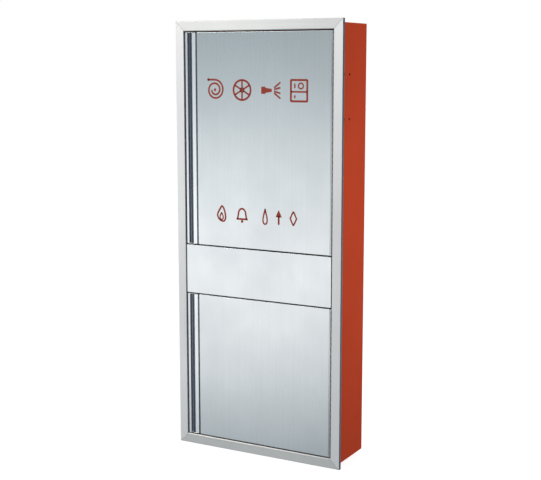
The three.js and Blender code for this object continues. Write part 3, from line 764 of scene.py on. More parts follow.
for door in ("upper", "lower"):
    low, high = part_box(f"{door}_door_stiffener")
    middle = (low + high) / 2
    section = channel((high.x - low.x) / 2, high.y - low.y, SHEET, 2.6 * MM)
    points, faces = carried(section, (middle.x, low.y, low.z), (middle.x, low.y, high.z), (1, 0, 0), (0, 1, 0))
    make(f"{door}_stiffener", points, faces, f"{door}_door", STAINLESS, [f"{door}_door_stiffener"])

# %% [markdown]
# ## Catches and keepers
#
# A magnet catch is a black moulding with two steel poles showing at its face. The door carries a
# small steel keeper that the poles pull on, held by two countersunk screws. A screw head is a
# turned dome, and its slot is a groove cut as a notch in the profile, so the small parts stay
# cheap however many there are.

# %% Screws, catches and keepers
def screw_head(centre, radius, axis, out):
    """A pan head that stands out from a face by half of its radius. out is 1 or -1 along the axis."""
    t = np.linspace(0, math.pi / 2, 6)
    dome = list(zip(radius * np.cos(t), out * (0.1 + 0.45 * np.sin(t)) * radius))
    recess = [(0.34 * radius, out * 0.53 * radius), (0.30 * radius, out * 0.2 * radius), (0, out * 0.2 * radius)]
    return turned([(0, -out * 0.1 * radius), (radius, -out * 0.1 * radius), *dome[:-1], *recess], centre, axis, 20)


for door in ("upper", "lower"):
    for number in (1, 2):
        low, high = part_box(f"{door}_keeper_{number}")
        middle = (low + high) / 2
        shells = [slab(low, high, radius=0.3 * MM, corner=3.0 * MM, normal=1)]
        for side in (-1, 1):
            shells.append(screw_head((middle.x, high.y, middle.z + side * 10 * MM), 3 * MM, 1, 1))
        make(f"{door}_keeper_plate_{number}", *merged(*shells), f"{door}_door", ZINC, [f"{door}_keeper_{number}"])

        low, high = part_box(f"{door}_catch_{number}")
        middle = (low + high) / 2
        case = slab((low.x, low.y + 1.6 * MM, low.z + 5 * MM), (high.x, high.y, high.z - 5 * MM), 1.2 * MM, 2.5 * MM, 1)
        foot = slab((low.x, low.y + 8 * MM, low.z), (low.x + 4 * MM, high.y, high.z), 0.8 * MM, 2.5 * MM, 0)
        make(f"{door}_catch_case_{number}", *merged(case, foot), "cabinet", PLASTIC, [f"{door}_catch_{number}"])
        poles = []
        for side in (-1, 1):
            pole_low = (high.x - 32 * MM, low.y, middle.z + side * 7 * MM - 2 * MM)
            pole_high = (high.x - 5 * MM, low.y + 6 * MM, middle.z + side * 7 * MM + 2 * MM)
            poles.append(slab(pole_low, pole_high, 0.4 * MM, 0.8 * MM, 1))
        make(f"{door}_catch_poles_{number}", *merged(*poles), "cabinet", ZINC)
print("catches and keepers: 4 pairs")

# %% [markdown]
# ## The water inlet
#
# The riser comes in through the left side as a threaded nipple, passes a rubber grommet and turns
# up in a cast elbow. The thread is a true helix: the radius follows a rounded saw-tooth wave of
# (distance along the pipe / pitch - angle / one turn). The elbow is a tube swept along a straight,
# a quarter circle and a straight, whose radius swells into a band at each end, as on malleable iron
# fittings.

# %% Threads and swept tubes
THREAD_PITCH = 2.31 * MM


def threaded(outer, bore, length, thread, pitch=THREAD_PITCH, depth=0.9 * MM, segments=56):
    """A pipe along z from 0. Over the first thread metres the outer radius is outer - depth * wave,
    where wave is the triangle wave of z / pitch - angle / one turn; it fades in over two turns."""
    steps = int(thread / pitch * 8)
    z = np.concatenate([np.linspace(0, thread, steps), [thread + pitch, length - 0.5 * MM, length]])
    angle = np.linspace(0, 2 * math.pi, segments, endpoint=False)
    phase = (z[:, None] / pitch - angle[None, :] / (2 * math.pi)) % 1.0
    wave = np.abs(2 * phase - 1)
    fade = np.clip((thread - z) / (2 * pitch), 0, 1)[:, None]
    radius = outer - depth * (0.15 + 0.85 * wave) * fade
    radius[0] -= 0.6 * MM
    radius[-1] -= 0.5 * MM
    height = np.broadcast_to(z[:, None], radius.shape)
    inner = np.full((2, segments), bore)
    radius = np.concatenate([radius, inner])
    height = np.concatenate([height, np.full((1, segments), length), np.zeros((1, segments))])
    points = np.stack([radius * np.cos(angle), radius * np.sin(angle), height], axis=-1)
    return points, grid_faces(len(radius), segments, closed_rows=True)


def swept(path, radius, side, segments=48, closed=False):
    """Rings round a path that lies in one plane. side is that plane's normal; each ring is spanned
    by side and by the normal of the path, and has its own radius."""
    path, radius = np.asarray(path, float), np.broadcast_to(np.asarray(radius, float), len(path))
    side = np.asarray(side, float)
    along = np.gradient(path, axis=0)
    along /= np.linalg.norm(along, axis=1)[:, None] + 1e-12
    other = np.cross(along, side)
    angle = np.linspace(0, 2 * math.pi, segments, endpoint=False)
    ring = np.cos(angle)[None, :, None] * side + np.sin(angle)[None, :, None] * other[:, None]
    points = path[:, None] + radius[:, None, None] * ring
    faces = grid_faces(len(path), segments, closed_rows=closed)
    if not closed:
        faces += [list(range(segments)), list(range((len(path) - 1) * segments, len(path) * segments))]
    return points, faces


nipple_low, nipple_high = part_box("inlet_nipple")
PIPE_RADIUS = (nipple_high.y - nipple_low.y) / 2
PIPE_BORE = PIPE_RADIUS - 6 * MM
points, faces = threaded(PIPE_RADIUS, PIPE_BORE, nipple_high.x - nipple_low.x, 10 * MM)
points = points[..., [2, 1, 0]] + np.array([nipple_low.x, inlet_centre.y, inlet_centre.z])
make("inlet_pipe", points, faces, "cabinet", ZINC, ["inlet_nipple"])

low, high = INLET
neck = 44.8 * MM
lip = 3 * MM
outer = (high.z - low.z) / 2
inside = PIPE_RADIUS + 0.3 * MM
grommet_profile = rounded(
    [(inside, low.x), (outer, low.x), (outer, low.x + lip), (neck, low.x + lip),
     (neck, high.x - lip), (outer, high.x - lip), (outer, high.x), (inside, high.x)],
    np.array([0.5, 1.3, 1.3, 0.3, 0.3, 1.3, 1.3, 0.5]) * MM,
)
make("inlet_seal", *turned(grommet_profile, (0, inlet_centre.y, inlet_centre.z), 0), "cabinet", RUBBER, ["inlet_grommet"])

elbow_low, elbow_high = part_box("inlet_elbow")
VALVE_LOW, VALVE_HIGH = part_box("valve_bonnet")
VALVE_AXIS = ((VALVE_LOW.x + VALVE_HIGH.x) / 2, (VALVE_LOW.y + VALVE_HIGH.y) / 2)
BEND = 60.5 * MM
BAND = 46 * MM
BAND_LENGTH = 24 * MM
turn = np.linspace(0, math.pi / 2, 25)
bend_x = VALVE_AXIS[0] - BEND + BEND * np.sin(turn)
bend_z = inlet_centre.z + BEND - BEND * np.cos(turn)
first = np.linspace(elbow_low.x, VALVE_AXIS[0] - BEND - 0.3 * MM, 3)
last = np.linspace(inlet_centre.z + BEND + 0.1 * MM, elbow_high.z, 3)
path = np.concatenate([
    np.stack([first, np.full(3, inlet_centre.z)], axis=1),
    np.stack([bend_x, bend_z], axis=1),
    np.stack([np.full(3, VALVE_AXIS[0]), last], axis=1),
])
travel = np.concatenate([[0], np.cumsum(np.linalg.norm(np.diff(path, axis=0), axis=1))])
fine = np.unique(np.concatenate([np.linspace(0, travel[-1], 60), [1 * MM, travel[-1] - 1 * MM]]))
path = np.stack([np.interp(fine, travel, path[:, i]) for i in (0, 1)], axis=1)
path = np.insert(path, 1, inlet_centre.y, axis=1)
from_end = np.minimum(fine, travel[-1] - fine)
swell = np.clip((BAND_LENGTH - from_end) / (4 * MM), 0, 1)
outside = PIPE_RADIUS + 1.5 * MM + (BAND - PIPE_RADIUS - 1.5 * MM) * swell ** 2 * (3 - 2 * swell)
outside = outside - 1.0 * MM * (from_end < 0.5 * MM)
skin, _ = swept(path, outside, (0, 1, 0))
bore, _ = swept(path, PIPE_BORE, (0, 1, 0))
points = np.concatenate([skin, bore[::-1]])
make("elbow_casting", points, grid_faces(2 * len(path), 48, closed_rows=True), "cabinet", CASTING, ["inlet_elbow"])
print("inlet pieces: 3")

# %% [markdown]
# ## The hose valve
#
# The valve is a red casting with a round barrel, a flanged outlet towards the front and a bolted
# bonnet. A brass stem comes up through a gland nut to the handwheel. Castings have soft corners
# everywhere, so the profiles have generous radii, and the barrel and the outlet are fused by a
# boolean, the way a pattern maker joins two cores.

# %% Hexagons, fused shells and the valve body
def hexagon(flats, bore, low, high, centre, axis):
    """A nut. Its radius at an angle is the flat's distance over the cosine of the angle from that
    flat's middle, and a 30 degree cone cuts its corners, so each flat ends in an arc."""
    angle = np.linspace(0, 2 * math.pi, 72, endpoint=False)
    six = flats / np.cos((angle + math.pi / 6) % (math.pi / 3) - math.pi / 6)
    crown = 0.95 * flats
    drop = (six - crown) * math.tan(math.radians(30))
    radius = np.stack([np.full(72, bore), np.full(72, crown), six, six, np.full(72, crown), np.full(72, bore)])
    height = np.stack([np.full(72, low), np.full(72, low), low + drop, high - drop, np.full(72, high), np.full(72, high)])
    a, b = [(1, 2), (2, 0), (0, 1)][axis]
    points = np.zeros((6, 72, 3))
    points[..., a], points[..., b], points[..., axis] = radius * np.cos(angle), radius * np.sin(angle), height
    return points + np.asarray(centre, float), grid_faces(6, 72, closed_rows=True)


def fused(name, added, taken, body, finish, stands_for=(), smooth=40):
    """Joins the added shells, cuts the taken ones out and makes one piece of the result."""
    cores = [shell_object(*shell) for shell in (*added, *taken)]
    for index, core in enumerate(cores[1:], start=1):
        modifier = cores[0].modifiers.new("fuse", "BOOLEAN")
        modifier.operation = "UNION" if index < len(added) else "DIFFERENCE"
        modifier.solver, modifier.object = "EXACT", core
    mesh = bpy.data.meshes.new_from_object(cores[0].evaluated_get(bpy.context.evaluated_depsgraph_get()))
    for core in cores:
        bpy.data.objects.remove(core)
    mesh.name = name
    mesh.shade_smooth()
    mesh.set_sharp_from_angle(angle=math.radians(smooth))
    piece = bpy.data.objects.new(name, mesh)
    bpy.context.scene.collection.objects.link(piece)
    return dress(piece, body, finish, stands_for)


body_low, body_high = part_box("valve_body")
vx, vy = VALVE_AXIS
BASE, TOP = body_low.z, body_high.z
coupling_low, coupling_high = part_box("outlet_coupling")
OUTLET = (coupling_low.z + coupling_high.z) / 2
flange_face = body_low.y - vy
barrel = rounded(
    [(0, BASE), (46 * MM, BASE), (46 * MM, BASE + 26 * MM), (42 * MM, BASE + 33 * MM), (50 * MM, BASE + 54 * MM),
     (52 * MM, OUTLET), (50 * MM, TOP - 22 * MM), (45 * MM, TOP - 12 * MM), (45 * MM, TOP), (0, TOP)],
    np.array([0.1, 2.0, 3.5, 6.0, 14.0, 16.0, 10.0, 5.0, 1.2, 0.1]) * MM, steps=6,
)
neck = rounded([(0, flange_face), (46 * MM, flange_face), (46 * MM, flange_face + 11 * MM), (41 * MM, flange_face + 16 * MM),
                (41 * MM, -20 * MM), (0, -20 * MM)], np.array([0.1, 1.2, 3.0, 4.0, 0.1, 0.1]) * MM)
chamber = [(0, BASE + 48 * MM), (43 * MM, BASE + 48 * MM), (44 * MM, OUTLET), (43 * MM, TOP - 18 * MM),
           (36 * MM, TOP - 10 * MM), (36 * MM, TOP + 1 * MM), (0, TOP + 1 * MM)]
bore = [(0, BASE - 1 * MM), (30 * MM, BASE - 1 * MM), (30 * MM, BASE + 49 * MM), (0, BASE + 49 * MM)]
outlet = [(0, flange_face - 1 * MM), (PIPE_BORE, flange_face - 1 * MM), (PIPE_BORE, -30 * MM), (0, -30 * MM)]
fused(
    "valve_casting",
    [turned(barrel, (vx, vy, 0)), turned(neck, (vx, vy, OUTLET), 1)],
    [turned(chamber, (vx, vy, 0)), turned(bore, (vx, vy, 0)), turned(outlet, (vx, vy, OUTLET), 1)],
    "cabinet", CASTING, ["valve_body"],
)

# %% Bonnet, gland, stem and disc
bonnet_low, bonnet_high = VALVE_LOW.z, VALVE_HIGH.z
stem_low, stem_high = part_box("valve_stem")
STEM = (stem_high.x - stem_low.x) / 2
hole = STEM + 0.6 * MM
seat = bonnet_low + 10.3 * MM
bonnet_profile = rounded(
    [(hole, bonnet_low), (35.4 * MM, bonnet_low), (35.4 * MM, seat), (48 * MM, seat), (48 * MM, seat + 10.7 * MM),
     (26 * MM, seat + 14.7 * MM), (21 * MM, bonnet_high), (hole, bonnet_high)],
    np.array([0.2, 0.5, 0.3, 1.2, 2.0, 5.0, 1.5, 0.3]) * MM, steps=5,
)
shells = [turned(bonnet_profile, (vx, vy, 0))]
BONNET_BOLTS = 6
for i in range(BONNET_BOLTS):
    angle = 2 * math.pi * (i + 0.5) / BONNET_BOLTS
    place = (vx + 41.5 * MM * math.cos(angle), vy + 41.5 * MM * math.sin(angle), seat + 10 * MM)
    shells.append(hexagon(4.6 * MM, 0.4 * MM, 0.0, 5.0 * MM, place, 2))
make("bonnet_casting", *merged(*shells), "cabinet", CASTING, ["valve_bonnet"])

low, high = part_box("gland_nut")
GLAND_FLATS = (high.x - low.x) / 2 * math.cos(math.pi / 6)
make("gland", *hexagon(GLAND_FLATS, hole, low.z, high.z, (vx, vy, 0), 2), "cabinet", BRASS, ["gland_nut"])

thread_length = 60 * MM
points, faces = threaded(STEM, 0.5 * MM, stem_high.z - stem_low.z, thread_length, 4.0 * MM, 0.9 * MM, 32)
points = points * np.array([1, -1, -1]) + np.array([vx, vy, stem_high.z])
make("stem", points, faces, "valve_stem", BRASS, ["valve_stem"])
disc_material, disc_slot = BRASS
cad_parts["valve_disc"].data.materials.clear()
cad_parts["valve_disc"].data.materials.append(disc_material)
print("stem threads:", round(thread_length / (4 * MM)))

# %% Handwheel
WHEEL_LOW, WHEEL_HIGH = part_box("handwheel")
wheel_z = (WHEEL_LOW.z + WHEEL_HIGH.z) / 2
RIM = (WHEEL_HIGH.x - WHEEL_LOW.x) / 2
GRIP = 8 * MM
RIM_PATH = RIM - GRIP
SPOKES = 5


def wheel_rim(segments=160, around=24, lobes=20):
    """A torus whose grip swells and shrinks gently: radius = GRIP * (0.95 + 0.05 cos(lobes * angle))."""
    angle = np.linspace(0, 2 * math.pi, segments, endpoint=False)[:, None]
    turn = np.linspace(0, 2 * math.pi, around, endpoint=False)[None, :]
    grip = GRIP * (0.95 + 0.05 * np.cos(lobes * angle))
    reach = RIM_PATH + grip * np.cos(turn)
    points = np.stack([vx + reach * np.cos(angle), vy + reach * np.sin(angle), wheel_z + grip * np.sin(turn)], axis=-1)
    return points, grid_faces(segments, around, closed_rows=True)


def spoke(angle, steps=24, around=20):
    """An oval arm from hub to rim that dips in the middle and is widest at both ends."""
    t = np.linspace(0, 1, steps)
    reach = 8 * MM + t * (RIM_PATH - 8 * MM)
    dip = -4 * MM * np.sin(math.pi * t) ** 2
    wide = (5.2 + 3.0 * (2 * t - 1) ** 4) * MM
    tall = (4.0 + 1.2 * (2 * t - 1) ** 4) * MM
    turn = np.linspace(0, 2 * math.pi, around, endpoint=False)
    side = wide[:, None] * np.cos(turn)
    x = reach[:, None] * math.cos(angle) - side * math.sin(angle)
    y = reach[:, None] * math.sin(angle) + side * math.cos(angle)
    z = dip[:, None] + tall[:, None] * np.sin(turn)
    points = np.stack([vx + x, vy + y, wheel_z + z], axis=-1)
    faces = grid_faces(steps, around)
    faces += [list(range(around)), list(range((steps - 1) * around, steps * around))]
    return points, faces


hub = rounded([(STEM + 0.3 * MM, wheel_z - 10 * MM), (15 * MM, wheel_z - 10 * MM), (15 * MM, wheel_z + 10 * MM),
               (STEM + 0.3 * MM, wheel_z + 10 * MM)], np.array([0.4, 2.0, 2.0, 0.4]) * MM)
fused(
    "wheel", [wheel_rim(), *[spoke(2 * math.pi * i / SPOKES) for i in range(SPOKES)],
              turned([(0, wheel_z - 9 * MM), (14.5 * MM, wheel_z - 9 * MM), (14.5 * MM, wheel_z + 9 * MM), (0, wheel_z + 9 * MM)],
                     (vx, vy, 0), 2, 48), turned(hub, (vx, vy, 0), 2, 48)],
    [turned([(0, wheel_z - 20 * MM), (STEM + 0.3 * MM, wheel_z - 20 * MM), (STEM + 0.3 * MM, wheel_z + 20 * MM),
             (0, wheel_z + 20 * MM)], (vx, vy, 0), 2, 32)],
    "valve_stem", CASTING, ["handwheel"],
)
low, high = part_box("handwheel_nut")
NUT_FLATS = (high.x - low.x) / 2 * math.cos(math.pi / 6)
make("wheel_nut", *hexagon(NUT_FLATS, STEM + 0.3 * MM, low.z, high.z, (vx, vy, 0), 2), "valve_stem", ZINC, ["handwheel_nut"])
print("handwheel spokes:", SPOKES, "rim mm:", round(2 * RIM / MM, 1))

# %% [markdown]
# ### The outlet coupling
#
# The coupling is a turned aluminium collar with shallow flutes for the hand. The flutes follow a
# cosine round the axis, raised to a power so that they are narrow grooves with broad lands, and
# they fade out before both rims.

# %% Outlet coupling and its seal
FLUTES = 18
collar = rounded(
    np.array([(32, 40), (44, 40), (50, 34), (50, 6), (47, 0), (39, 0), (39, 10), (32, 10)]) * MM,
    np.array([0.4, 1.0, 2.0, 2.0, 0.8, 0.8, 0.4, 0.4]) * MM,
)
land = np.stack([np.full(20, 50 * MM), np.linspace(32.5, 7.5, 20) * MM], axis=1)
split = int(np.argmax(collar[:, 0] >= 49.9 * MM))
before = collar[:split]
after = collar[split:][collar[split:, 0] < 49.9 * MM]
outline = np.concatenate([before, land, after])
angle = np.linspace(0, 2 * math.pi, FLUTES * 12, endpoint=False)
groove = ((1 + np.cos(FLUTES * angle)) / 2) ** 6
fade = np.where(outline[:, 0] >= 49.9 * MM, np.sin(np.clip((outline[:, 1] - 7.5 * MM) / (25 * MM), 0, 1) * math.pi) ** 0.5, 0)
radius = outline[:, :1] - 1.5 * MM * fade[:, None] * groove[None, :]
deep = np.broadcast_to(outline[:, 1:], radius.shape)
points = np.stack([vx + radius * np.cos(angle), coupling_low.y + deep, OUTLET + radius * np.sin(angle)], axis=-1)
make("coupling", points, grid_faces(len(outline), len(angle), closed_rows=True), "cabinet", SATIN, ["outlet_coupling"])

low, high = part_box("coupling_seal")
washer = rounded([(33 * MM, low.y), (38.6 * MM, low.y), (38.6 * MM, high.y), (33 * MM, high.y)], 1.2 * MM)
make("coupling_washer", *turned(washer, (vx, 0, OUTLET), 1), "cabinet", RUBBER, ["coupling_seal"])

# %% [markdown]
# ## The hose reel
#
# The reel's two side discs are pressed from sheet: a rolled bead stiffens the rim, a raised ring
# stiffens the web, and six round windows lighten it. The profile is turned, then the windows are
# drilled. Between the discs is the drum, and a steel axle carries it from a bracket on the back.

# %% Reel discs
AXLE_LOW, AXLE_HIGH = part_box("reel_axle")
AXLE = (AXLE_HIGH.x - AXLE_LOW.x) / 2
DISC_LOW, DISC_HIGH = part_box("reel_disc_front")
REEL_X = (DISC_LOW.x + DISC_HIGH.x) / 2
REEL_Z = (DISC_LOW.z + DISC_HIGH.z) / 2
DISC = (DISC_HIGH.x - DISC_LOW.x) / 2
WINDOW, WINDOW_RING, WINDOWS = 42 * MM, 142 * MM, 6
BEAD = 4 * MM


def disc_profile(face, out):
    """Round the disc's section: the flat web, a raised ring, then a rolled bead at the rim. out is
    the side that the bead and the ring stand out to."""
    sheet = 1.8 * MM
    turn = np.linspace(-0.35 * math.pi, 1.2 * math.pi, 14)
    bead = np.stack([DISC - BEAD + BEAD * np.cos(turn), BEAD * 0.25 + BEAD * np.sin(turn) * 0.9], axis=1)
    r = np.linspace(DISC - 24 * MM, DISC - 10 * MM, 12)
    ridge = 1.6 * MM * np.sin(np.linspace(0, math.pi, 12)) ** 2
    front = np.stack([r, sheet + ridge], axis=1)[::-1]
    back = np.stack([r, ridge], axis=1)
    hub_r = AXLE + 1 * MM
    loop = np.concatenate([[(hub_r, sheet)], [(hub_r, 0)], back, bead, front])
    return np.stack([loop[:, 0], face + out * loop[:, 1]], axis=1)


for side, out in (("front", -1), ("back", 1)):
    low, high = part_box(f"reel_disc_{side}")
    face = high.y if out < 0 else low.y
    disc = make(f"reel_side_{side}", *turned(disc_profile(face, out), (REEL_X, 0, REEL_Z), 1, 128), "reel", BODY_PAINT,
                [f"reel_disc_{side}"])
    angles = np.arange(WINDOWS) * math.pi / 3
    drilled(disc, [((REEL_X + WINDOW_RING * math.cos(a), face, REEL_Z + WINDOW_RING * math.sin(a)), WINDOW, 20 * MM, 1)
                   for a in angles], 64)

# %% Drum, axle, nut and bracket
low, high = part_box("reel_drum")
drum = (high.x - low.x) / 2
centre = (low.y + high.y) / 2
spool = rounded(
    [(AXLE + 1 * MM, low.y), (22 * MM, low.y), (22 * MM, centre - 2 * MM), (drum - 3 * MM, centre - 2 * MM),
     (drum - 3 * MM, low.y), (drum, low.y), (drum, high.y), (drum - 3 * MM, high.y),
     (drum - 3 * MM, centre + 2 * MM), (22 * MM, centre + 2 * MM), (22 * MM, high.y), (AXLE + 1 * MM, high.y)],
    np.array([0.3, 0.8, 2.0, 2.0, 0.8, 0.8, 0.8, 0.8, 2.0, 2.0, 0.8, 0.3]) * MM,
)
make("drum", *turned(spool, (REEL_X, 0, REEL_Z), 1, 96), "reel", BODY_PAINT, ["reel_drum"])

axle_profile = rounded([(0, AXLE_LOW.y), (AXLE, AXLE_LOW.y), (AXLE, AXLE_HIGH.y), (0, AXLE_HIGH.y)],
                       np.array([0.1, 1.5, 0.3, 0.1]) * MM)
make("axle", *turned(axle_profile, (REEL_X, 0, REEL_Z), 1, 40), "cabinet", ZINC, ["reel_axle"])
low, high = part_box("reel_axle_nut")
AXLE_FLATS = (high.x - low.x) / 2 * math.cos(math.pi / 6)
make("axle_nut", *hexagon(AXLE_FLATS, AXLE + 0.3 * MM, low.y, high.y, (REEL_X, 0, REEL_Z), 1), "cabinet", ZINC, ["reel_axle_nut"])

low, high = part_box("reel_bracket")
plate = slab((low.x, high.y - 4 * MM, low.z), high, 0.8 * MM, 8 * MM, 1)
boss = rounded([(AXLE + 0.3 * MM, low.y), (24 * MM, low.y), (38 * MM, high.y - 2 * MM), (AXLE + 0.3 * MM, high.y - 2 * MM)],
               np.array([0.5, 2.0, 0.5, 0.5]) * MM)
shells = [plate, turned(boss, (REEL_X, 0, REEL_Z), 1)]
for sx in (-1, 1):
    for sz in (-1, 1):
        place = (REEL_X + sx * 45 * MM, high.y - 4 * MM, REEL_Z + sz * 65 * MM)
        shells.append(hexagon(6.5 * MM, 0.5 * MM, -5 * MM, 0.2 * MM, place, 1))
make("bracket", *merged(*shells), "cabinet", BODY_PAINT, ["reel_bracket"])
print("reel across mm:", round(2 * DISC / MM))

# %% [markdown]
# ## The nozzle and its clips
#
# The branch is a long aluminium taper with a fluted coupling at its foot and a tip ring. It stands
# in two spring clips on the right side. A clip is a sprung band, open to the front, on a foot.

# %% Nozzle
low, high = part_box("nozzle")
NX, NY, NZ = (low.x + high.x) / 2, (low.y + high.y) / 2, low.z
nozzle_profile = rounded(
    np.array([(39, 0), (46, 0), (49, 4), (49, 26), (45, 32), (34, 36), (31, 60), (14, 330), (17, 336),
              (17, 362), (14, 370), (9.5, 370), (9.5, 334), (29, 34), (39, 26)]) * MM,
    np.array([1, 1, 1.5, 1.5, 2, 4, 12, 2, 1.5, 1.5, 1, 0.8, 4, 4, 1]) * MM, steps=5,
)
make("branch", *turned(nozzle_profile, (NX, NY, NZ), 2, 72), "cabinet", SATIN, ["nozzle"])

GRIP_RINGS = 6
rings = []
for i in range(GRIP_RINGS):
    height = (66 + 7 * i) * MM
    reach = (31 - 17 * (height / MM - 60) / 270) * MM
    band = rounded([(reach - 1 * MM, height), (reach + 1.4 * MM, height), (reach + 1.4 * MM, height + 5 * MM),
                    (reach - 1 * MM, height + 5 * MM)], 1.0 * MM)
    rings.append(turned(band, (NX, NY, NZ), 2, 64))
make("branch_grip", *merged(*rings), "cabinet", RUBBER)

# %% Nozzle clips
for number in (1, 2):
    node = f"nozzle_clip_{number}"
    low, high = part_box(node)
    height = (low.z + high.z) / 2 - NZ
    inner = (31 - 17 * ((height - 10 * MM) / MM - 60) / 270 + 0.6) * MM
    opening = math.radians(48)
    turn = np.linspace(-math.pi / 2 + opening, 1.5 * math.pi - opening, 48)
    flare = np.linspace(0, 1, 7)[1:]
    lead = np.stack([inner * np.cos(turn[0]) + 5 * MM * flare, inner * np.sin(turn[0]) - 3 * MM * flare], axis=1)
    tail = lead * np.array([-1, 1])
    line = np.concatenate([lead[::-1], np.stack([inner * np.cos(turn), inner * np.sin(turn)], axis=1), tail])
    along = np.gradient(line, axis=0)
    along /= np.linalg.norm(along, axis=1)[:, None]
    out = np.stack([along[:, 1], -along[:, 0]], axis=1)
    section = np.concatenate([line, (line + 1.6 * MM * out)[::-1]])
    points, faces = carried(section, (NX, NY, low.z), (NX, NY, high.z), (1, 0, 0), (0, 1, 0))
    foot = slab((NX + inner + 0.8 * MM, NY - 1.5 * MM, low.z + 2 * MM), (high.x - 1 * MM, NY + 1.5 * MM, high.z - 2 * MM), 0.3 * MM, 0.5 * MM, 2)
    plate = slab((high.x - 2 * MM, NY - 16 * MM, low.z), (high.x, NY + 16 * MM, high.z), 0.4 * MM, 3 * MM, 0)
    screws = [screw_head((high.x - 2 * MM, NY + side * 10 * MM, (low.z + high.z) / 2), 3 * MM, 0, -1) for side in (-1, 1)]
    make(f"clip_{number}", *merged((points, faces), foot, plate, *screws), "cabinet", ZINC, [node])

# %% [markdown]
# ## The signs on the upper door
#
# Cabinets like this carry red signs on the upper door, so that anyone can tell what is inside.
# These are plain picture signs: a coiled hose, a handwheel, a nozzle and a cabinet in the first
# row; a flame, a bell, a drop, a pointer and a diamond in the second. They are cut vinyl, so each
# is a set of ribbons a tenth of a millimetre thick. A ribbon is a band of even width about a path,
# and its ends are rounded by narrowing the last few rows along a circle.

# %% Ribbons
LEAF_LOW, LEAF_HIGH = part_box("upper_door_leaf")
SIGN_FRONT = LEAF_LOW.y - 0.12 * MM
SIGN_BACK = LEAF_LOW.y + 0.10 * MM


def ribbon(path, width, closed=False):
    """A flat band about a path of (x, z) points. Open ends are half circles: the half width at a
    distance d from the end is sqrt(w * w - (w - d) ** 2) for d below w, where w is half the width."""
    path = np.asarray(path, float)
    half = width / 2
    if closed:
        along = np.roll(path, -1, axis=0) - np.roll(path, 1, axis=0)
        reach = np.full(len(path), half)
    else:
        travel = np.concatenate([[0], np.cumsum(np.linalg.norm(np.diff(path, axis=0), axis=1))])
        cap = half * (1 - np.cos(np.linspace(0, math.pi / 2, 6)))
        stations = np.unique(np.concatenate([cap, travel, travel[-1] - cap]).round(7))
        path = np.stack([np.interp(stations, travel, path[:, i]) for i in (0, 1)], axis=1)
        along = np.gradient(path, axis=0)
        end = np.minimum(np.minimum(stations, travel[-1] - stations), half)
        reach = np.sqrt(np.maximum(half ** 2 - (half - end) ** 2, (0.02 * half) ** 2))
    along /= np.linalg.norm(along, axis=1)[:, None] + 1e-12
    out = np.stack([-along[:, 1], along[:, 0]], axis=1) * reach[:, None]
    left, right = path + out, path - out
    rows = np.zeros((len(path), 4, 3))
    for column, (edge, depth) in enumerate(((left, SIGN_FRONT), (right, SIGN_FRONT), (right, SIGN_BACK), (left, SIGN_BACK))):
        rows[:, column, 0], rows[:, column, 1], rows[:, column, 2] = edge[:, 0], depth, edge[:, 1]
    faces = grid_faces(len(path), 4, closed_rows=closed)
    if not closed:
        faces += [[0, 1, 2, 3], [4 * len(path) - 4 + i for i in range(4)]]
    return rows, faces


def blot(outline):
    """A filled shape: one face in front, one behind, joined round the edge."""
    outline = np.asarray(outline, float)
    rows = np.zeros((2, len(outline), 3))
    rows[:, :, 0], rows[:, :, 2] = outline[:, 0], outline[:, 1]
    rows[0, :, 1], rows[1, :, 1] = SIGN_FRONT, SIGN_BACK
    count = len(outline)
    return rows, grid_faces(2, count) + [list(range(count)), list(range(count, 2 * count))]


def arc(x, z, radius, start=0, stop=360, count=49, squash=1.0):
    """Points on a circle, in degrees; squash scales its height."""
    angle = np.radians(np.linspace(start, stop, count))
    return np.stack([x + radius * np.cos(angle), z + squash * radius * np.sin(angle)], axis=1)


def ring_path(x, z, radius, squash=1.0):
    return arc(x, z, radius, 0, 352.5, 48, squash)


def corners_path(*points):
    """A closed outline with softly rounded corners."""
    return rounded(points, 3 * MM)


# %% [markdown]
# ### Nine pictures
#
# Each picture is drawn in its own small frame, centred on nought, with a half height of one; a
# table then says where each one stands on the door and how large it is.

# %% Pictures
STROKE = 8.5 * MM


def hose_picture(x, z, s):
    coil = np.linspace(0, 1.75 * 2 * math.pi, 120)
    reach = 0.34 + 0.56 * coil / coil[-1]
    spiral = reach[:, None] * np.stack([np.cos(coil + math.pi), np.sin(coil + math.pi)], axis=1)
    tail = spiral[-1] + np.array([(-0.15, 0.0), (-0.40, 0.0), (-0.70, 0.0)])
    return [ribbon(np.array([x, z]) + s * np.concatenate([spiral, tail]), STROKE * 0.9),
            ribbon(np.array([x, z]) + s * (tail[-1] + np.array([(0.12, 0.0), (-0.12, 0.0)])), STROKE * 1.6),
            blot(arc(x, z, 0.13 * s, 0, 345, 24))]


def handwheel_picture(x, z, s):
    parts = [ribbon(ring_path(x, z, 0.88 * s), STROKE, True), blot(arc(x, z, 0.24 * s, 0, 345, 24))]
    for i in range(6):
        a = math.pi * i / 3 + math.pi / 6
        reach = np.array([[0.15, 0.85]]).T * s
        parts.append(ribbon(np.array([x, z]) + reach * np.array([math.cos(a), math.sin(a)]), STROKE * 0.85))
    return parts


def nozzle_picture(x, z, s):
    barrel = np.array([(-0.95, -0.32), (-0.95, 0.32), (-0.55, 0.32), (-0.50, 0.22), (0.12, 0.13), (0.12, -0.13),
                       (-0.50, -0.22), (-0.55, -0.32)]) * s + (x, z)
    parts = [blot(rounded(barrel, 2 * MM))]
    for rise in (-0.62, -0.22, 0.22, 0.62):
        jet = np.array([(0.34, rise * 0.35), (1.0, rise * 1.15)]) * s + (x, z)
        parts.append(ribbon(jet, STROKE * 0.85))
    return parts


